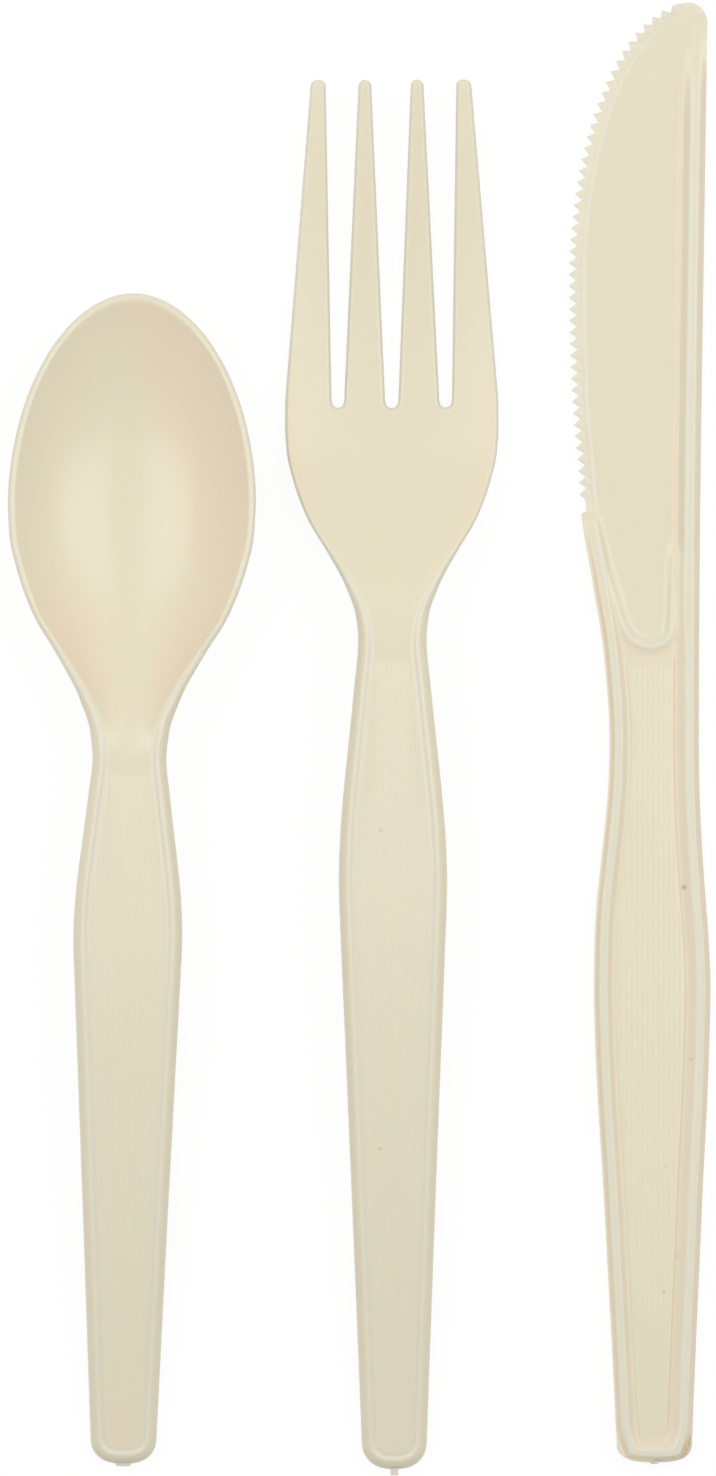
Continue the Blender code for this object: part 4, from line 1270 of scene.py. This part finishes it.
        starts = self.edge_points
        ahead = np.clip((starts[:, 1] - self.belly) / self.front_length, 0, 1)
        stop_y = starts[:, 1] - self.tip_corner * ahead ** 2
        stops = np.stack((self.edge(Side.RIGHT, stop_y), stop_y), axis=1)
        blade = between(starts[:, None, :], stops[:, None, :], share[None, :, None])
        turns = share * math.pi / 2
        corner = np.stack((
            self.tip_right + (self.spine_right - self.tip_right) * np.sin(turns),
            self.tip - self.tip_corner * (1 - np.cos(turns)),
        ), axis=-1)
        bulge = corner - between(starts[-1], stops[-1], share[:, None])
        near_tip = np.linspace(0, 1, len(starts)) ** self.corner_power
        blade = blade + bulge[None, :, :] * near_tip[:, None, None]
        return np.concatenate((handle, blade))

    def toothed(self, points: np.ndarray) -> np.ndarray:
        """Draw the left side of the blade's rows in by the gaps between the teeth.

        Args:
            points: Points of the face, rows by columns by (x, y).

        Returns:
            The points with the teeth.
        """
        count = len(self.gaps)
        edge = points[-count:, 0]
        runs = np.gradient(edge, axis=0)
        runs /= np.linalg.norm(runs, axis=1)[:, None]
        inward = np.stack((runs[:, 1], -runs[:, 0]), axis=1)
        gaps = np.linalg.norm(points[-count:] - edge[:, None, :], axis=2)
        pull = self.gaps[:, None] * np.clip(1 - gaps / self.tooth_reach, 0, 1)
        moved = points.copy()
        moved[-count:] += inward[:, None, :] * pull[..., None]
        return moved

    def rim_line(self) -> np.ndarray:
        """Place the line that the rim follows: from the heel, round the end and up the spine.

        Returns:
            Points of the line, in order.
        """
        turns = np.linspace(0, 1, 40)
        across, out = round_end(2 * turns - 1, np.ones(40), END_POWER)
        end_y = self.end_round * (1 - out)
        end_x = np.where(across < 0, -across * self.edge(Side.LEFT, end_y),
                         across * self.edge(Side.RIGHT, end_y))
        down = np.linspace(self.heel, self.end_round, 120)
        up = np.linspace(self.end_round, self.tip - self.tip_corner, 200)
        return np.concatenate((
            np.stack((self.edge(Side.LEFT, down), down), axis=1)[:-1],
            np.stack((end_x, end_y), axis=1),
            np.stack((self.edge(Side.RIGHT, up), up), axis=1)[1:],
        ))

    def lip_line(self) -> np.ndarray:
        """Place the middle line of the lip that ends the blade's web.

        Returns:
            Points of the line, from the heel to the spine.
        """
        left = float(self.edge(Side.LEFT, np.array(self.heel)))
        right = self.neck_right - self.rim_width - self.lip_width
        bottom = self.neck + self.lip_distance
        shares = np.linspace(0, 1, len(LIP_CURVE))
        across = smooth_curve([(s, point[0]) for s, point in zip(shares, LIP_CURVE)])
        down = smooth_curve([(s, point[1]) for s, point in zip(shares, LIP_CURVE)])
        fine = np.linspace(0, 1, 90)
        x, y = between(left, right, across(fine)), between(self.heel, bottom, down(fine))
        return np.stack((x, y), axis=1)

    def thickness_and_painted_light(self, points: np.ndarray) -> tuple[np.ndarray, np.ndarray]:
        """Work out half of the knife's thickness at each point, and the painted shade and
        highlight.

        Args:
            points: Rows by columns by (x, y).

        Returns:
            Rows by columns of half thicknesses, and of painted shade and highlight.
        """
        x, y = points[..., 0], points[..., 1]
        lip = self.lip_line()
        from_rim, _ = nearest_on(points, self.rim_line())
        from_edge, _ = nearest_on(points, self.edge_points)
        from_lip, lip_place = nearest_on(points, lip)
        into_web = np.where(self.inside_web(x, y, lip), from_lip, -from_lip)
        along_lip = np.sqrt(np.sin(math.pi * np.clip(lip_place, 0, 1)))
        strength = between(self.lip_ends, 1.0, along_lip)
        bottom = self.neck + self.lip_distance
        on_spine = smooth_step(y, *past(bottom, self.spine_starts)) * (x > 0)
        on_blade = smooth_step(y, *past(self.heel, self.edge_starts))
        at_heel = np.where(x < 0, np.clip((self.heel - y) / self.heel_fade, 0, 1) ** 0.5, 1.0)
        rim_share = np.minimum(at_heel, smooth_step(self.tip - y, *self.tip_stops))

        rims = (self.left_rim, self.right_rim, self.spine_rim)
        rise = self.across_rim(rims, x, from_rim, on_spine) * rim_share
        level = between(self.plate_half, self.web_half, self.web_share(x, y, into_web))
        half = level + (self.rim_half - level) * rise
        crest = np.exp(-(from_lip / (self.crest_share * self.lip_width)) ** 2)
        half = half + np.maximum(self.lip_half - half, 0) * crest * strength
        half = half + self.pad(x, y, from_rim) + smooth_curve(self.bevel)(from_edge) * on_blade

        # Painted shade in the grooves and painted highlight on the crests
        rim_painted_light = (self.left_painted_light, self.right_painted_light, self.spine_painted_light)
        painted_light = self.across_rim(rim_painted_light, x, from_rim, on_spine) * rim_share
        painted_light = painted_light + smooth_curve(self.lip_painted_light)(-into_web) * strength
        painted_light = painted_light + smooth_curve(self.bevel_painted_light)(from_edge) * on_blade
        return half, np.clip(painted_light, -1, 1)

    @staticmethod
    def across_rim(curves: Sequence[Stations], x: np.ndarray, from_rim: np.ndarray,
                   on_spine: np.ndarray) -> np.ndarray:
        """Follow the curve of each side of the knife across its rim.

        Args:
            curves: Stations of the handle's left and right sides and of the spine.
            x: Places across.
            from_rim: Distances in from the outline.
            on_spine: How far the rim has turned into the spine, from 0 to 1.

        Returns:
            The curves' values.
        """
        left, right, spine = (smooth_curve(curve)(from_rim) for curve in curves)
        return between(np.where(x < 0, left, right), spine, on_spine)

    def web_share(self, x: np.ndarray, y: np.ndarray, into_web: np.ndarray) -> np.ndarray:
        """Work out how far the plate has thinned down to the blade's web.

        Args:
            x: Places across.
            y: Places along.
            into_web: Distances into the web from the lip, negative outside it.

        Returns:
            Shares from 0 on the plate to 1 in the web.
        """
        share = smooth_step(into_web, -self.web_overlap, self.lip_slope)
        start, stop = past(self.heel, self.web_starts)
        past_heel = np.maximum(share, smooth_step(y, start, stop))
        return np.where((y > start) & (x < 0), past_heel, share)

    def inside_web(self, x: np.ndarray, y: np.ndarray, lip: np.ndarray) -> np.ndarray:
        """Say which points lie on the blade's side of the lip.

        Args:
            x: Places across.
            y: Places along.
            lip: Points of the lip's middle line.

        Returns:
            True where a point is in the web.
        """
        lowest = int(lip[:, 1].argmin())
        left_part, right_part = lip[:lowest + 1][::-1], lip[lowest:]
        left_x = np.interp(y, left_part[:, 1], left_part[:, 0])
        right_x = np.interp(y, right_part[:, 1], right_part[:, 0])
        return (y > lip[lowest, 1]) & (x > left_x) & ((x < right_x) | (y > right_part[-1, 1]))

    def pad(self, x: np.ndarray, y: np.ndarray, from_rim: np.ndarray) -> np.ndarray:
        """Work out the height that the handle's ribbed pad adds.

        Args:
            x: Places across.
            y: Places along.
            from_rim: Distances in from the outline.

        Returns:
            The heights.
        """
        inward = from_rim - np.where(x < 0, *self.pad_insets)
        raised = smooth_step(inward, *self.pad_slope) * rise_and_fall(
            y, past(self.pad_start, self.pad_slope), around(self.pad_stop, self.pad_fade))
        ribbed = smooth_step(inward, *self.rib_inset) * rise_and_fall(
            y, around(self.rib_start, self.rib_fade), around(self.rib_stop, self.rib_fade))
        return self.pad_rise * raised + rib_wave(x, self.rib_pitch, self.rib_height) * ribbed


@dataclass(frozen=True)
class Studio:
    """Plain white table and soft light, with the camera straight above."""

    floor_half: float = 3.0
    floor_drop: float = 0.00005
    # White of the table as a light's bounce sees it, and where it is seen: a faint grey that
    # takes the shadows, and a glow that lifts it to the background's white
    table_grey: Colour = (0.80, 0.80, 0.80, 1.0)
    shadow_grey: Colour = (0.08, 0.08, 0.08, 1.0)
    table_glow: float = 0.93
    ambient: float = 0.585
    ambient_lean: tuple[float, float] = (-0.04, 0.20)
    panel_height: float = 0.477
    panel_inner: float = 0.086
    panel_widths: tuple[float, float] = (0.42, 0.60)
    panel_length: float = 0.38
    panel_y: float = 0.110
    panel_radiance: float = 1.68
    camera_height: float = 4.0
    camera_x: float = -0.00018
    camera_y: float = 0.00013
    view_height: float = 0.19222
    sensor_width: float = 36.0
    clip_end: float = 20.0

    def build(self) -> None:
        """Make the floor, the world, the lamps and the camera."""
        self.add_floor()
        self.add_world()
        for side, width in zip(Side, self.panel_widths):
            self.add_panel(side, width)
        self.add_camera()
        bpy.context.scene.view_settings.view_transform = "Standard"

    def add_floor(self) -> None:
        """White table that keeps a faint shadow."""
        bm = bmesh.new()
        bmesh.ops.create_grid(bm, x_segments=1, y_segments=1, size=self.floor_half)
        bmesh.ops.translate(bm, vec=(0.0, 0.0, -self.floor_drop), verts=bm.verts)
        mesh = bpy.data.meshes.new("table_top")
        bm.to_mesh(mesh)
        bm.free()
        mesh.materials.append(self.table_material())
        table = bpy.data.objects.new("table_top", mesh)
        bpy.context.scene.collection.objects.link(table)

    @staticmethod
    def seen_directly(tree: bpy.types.NodeTree) -> Socket:
        """Tell rays that show the background itself from rays that only light the set.

        Args:
            tree: Node tree of the table or the world.

        Returns:
            The output that is 1 for rays that show the background.
        """
        rays = add_node(tree, "LightPath").outputs
        total = rays["Is Camera Ray"]
        for name in ("Is Glossy Ray", "Is Transmission Ray"):
            total = add_node(
                tree, "Math", {0: total, 1: rays[name]}, operation="MAXIMUM").outputs["Value"]
        return total

    def table_material(self) -> bpy.types.Material:
        """Make the white that is lifted to the background's white where it is seen.

        Returns:
            The material.
        """
        material = bpy.data.materials.new("white_table")
        material.use_nodes = True
        tree = material.node_tree
        tree.nodes.remove(tree.nodes["Principled BSDF"])
        plain = add_node(tree, "BsdfDiffuse", {"Color": self.table_grey})
        faint = add_node(tree, "BsdfDiffuse", {"Color": self.shadow_grey})
        glow = add_node(tree, "Emission", {"Color": WHITE, "Strength": self.table_glow})
        lifted = add_node(tree, "AddShader", {
            0: faint.outputs["BSDF"], 1: glow.outputs["Emission"],
        })
        mix = add_node(tree, "MixShader", {
            0: self.seen_directly(tree), 1: plain.outputs["BSDF"], 2: lifted.outputs["Shader"],
        })
        fill_inputs(tree, tree.nodes["Material Output"], {"Surface": mix.outputs["Shader"]})
        return material

    def add_world(self) -> None:
        """White light from all round, a little brighter from the bowl's and the blade's end."""
        world = bpy.data.worlds.new("white_room")
        world.use_nodes = True
        bpy.context.scene.world = world
        tree = world.node_tree
        place = add_node(tree, "TexCoord").outputs["Generated"]
        lean = add_node(tree, "VectorMath", {
            0: place, 1: (*self.ambient_lean, 0.0),
        }, operation="DOT_PRODUCT")
        room = add_node(tree, "Math", {0: lean.outputs["Value"], 1: self.ambient})
        strength = add_node(tree, "Mix", {
            "Factor": self.seen_directly(tree), "A": room.outputs["Value"], "B": 1.0,
        })
        fill_inputs(tree, tree.nodes["Background"], {
            "Color": WHITE, "Strength": strength.outputs["Result"],
        })

    def add_panel(self, side: Side, width: float) -> None:
        """Hang one softbox beside the camera's line, facing down.

        Args:
            side: Side of the camera's line.
            width: Width of the lamp.
        """
        name = side.name.lower() + "_softbox"
        lamp = bpy.data.lights.new(name, "AREA")
        lamp.shape = "RECTANGLE"
        lamp.size, lamp.size_y = width, self.panel_length
        lamp.energy = self.panel_radiance * math.pi * width * self.panel_length
        panel = bpy.data.objects.new(name, lamp)
        across = side.value * (self.panel_inner + width / 2)
        panel.location = (across, self.panel_y, self.panel_height)
        panel.visible_camera = False
        bpy.context.scene.collection.objects.link(panel)

    def add_camera(self) -> None:
        """Camera straight above the set, far off behind a long lens."""
        camera = bpy.data.cameras.new("camera_above")
        camera.sensor_width = self.sensor_width
        camera.lens = self.sensor_width * self.camera_height / self.view_height
        camera.clip_end = self.clip_end
        above = bpy.data.objects.new("camera_above", camera)
        above.location = (self.camera_x, self.camera_y, self.camera_height)
        bpy.context.scene.collection.objects.link(above)
        bpy.context.scene.camera = above


def make_spoon(finish: CreamPlastic) -> Spoon:
    """Spoon with its sizes and its place in the set.

    Args:
        finish: Finish of the plastic.

    Returns:
        The spoon, ready to build.
    """
    return Spoon(
        node="spoon", x=-0.030735, y=-0.094347, lean=math.radians(-0.53), specks=(),
        finish=finish, end_width=0.0083, end_round=0.0033, grip_length=0.0688,
        grip_width=0.01416, grip_height=0.0090, shoulder_length=0.0230, neck_width=0.0096,
        neck_height=0.0096, back_length=0.0330, head_width=0.03226, head_wall=0.0012,
        rim_round=0.0008, head_start=0.54, rib_pitch=0.00069, rib_start=0.0187,
        rib_stop=0.0895, stub=(0.0019, 0.0003),
    )


def make_fork(finish: CreamPlastic) -> Fork:
    """Fork with its sizes and its place in the set.

    Args:
        finish: Finish of the plastic.

    Returns:
        The fork, ready to build.
    """
    specks = (
        Speck(0.00279, -0.01185, 0.0004, 0.25),
        Speck(0.00266, -0.05326, 0.0004, 0.30),
        Speck(0.00695, 0.08113, 0.0003, 0.15),
    )
    return Fork(
        node="fork", x=0.004553, y=-0.095047, lean=math.radians(0.14), specks=specks,
        finish=finish, end_width=0.0082, end_round=0.0036, grip_length=0.0766,
        grip_width=0.0141, grip_height=0.0090, shoulder_length=0.0314, neck_width=0.0089,
        neck_height=0.0098, back_length=0.0279, head_width=0.0278, head_wall=0.0015,
        rim_round=0.00055, head_start=0.47, rib_pitch=0.00051, rib_start=0.0183,
        rib_stop=0.1048, stub=(0.0010, 0.0008),
    )


def make_knife(finish: CreamPlastic) -> Knife:
    """Knife with its place in the set.

    Args:
        finish: Finish of the plastic.

    Returns:
        The knife, ready to build.
    """
    specks = (
        Speck(0.04225, -0.01927, 0.00050, 0.55),
        Speck(0.03964, -0.07202, 0.00040, 0.25),
        Speck(0.04316, -0.04167, 0.00035, 0.25),
        Speck(0.03977, -0.05548, 0.00035, 0.20),
        Speck(0.04133, -0.06733, 0.00035, 0.20),
    )
    return Knife(node="knife", x=0.038408, y=-0.094147, lean=0.0, specks=specks, finish=finish)


def main() -> None:
    """Build the set and the studio, and log each piece's face count."""
    logging.basicConfig(level=logging.INFO)
    finish = CreamPlastic()
    for piece in (make_spoon(finish), make_fork(finish), make_knife(finish)):
        piece.build()
    Studio().build()


if __name__ == "__main__":
    main()
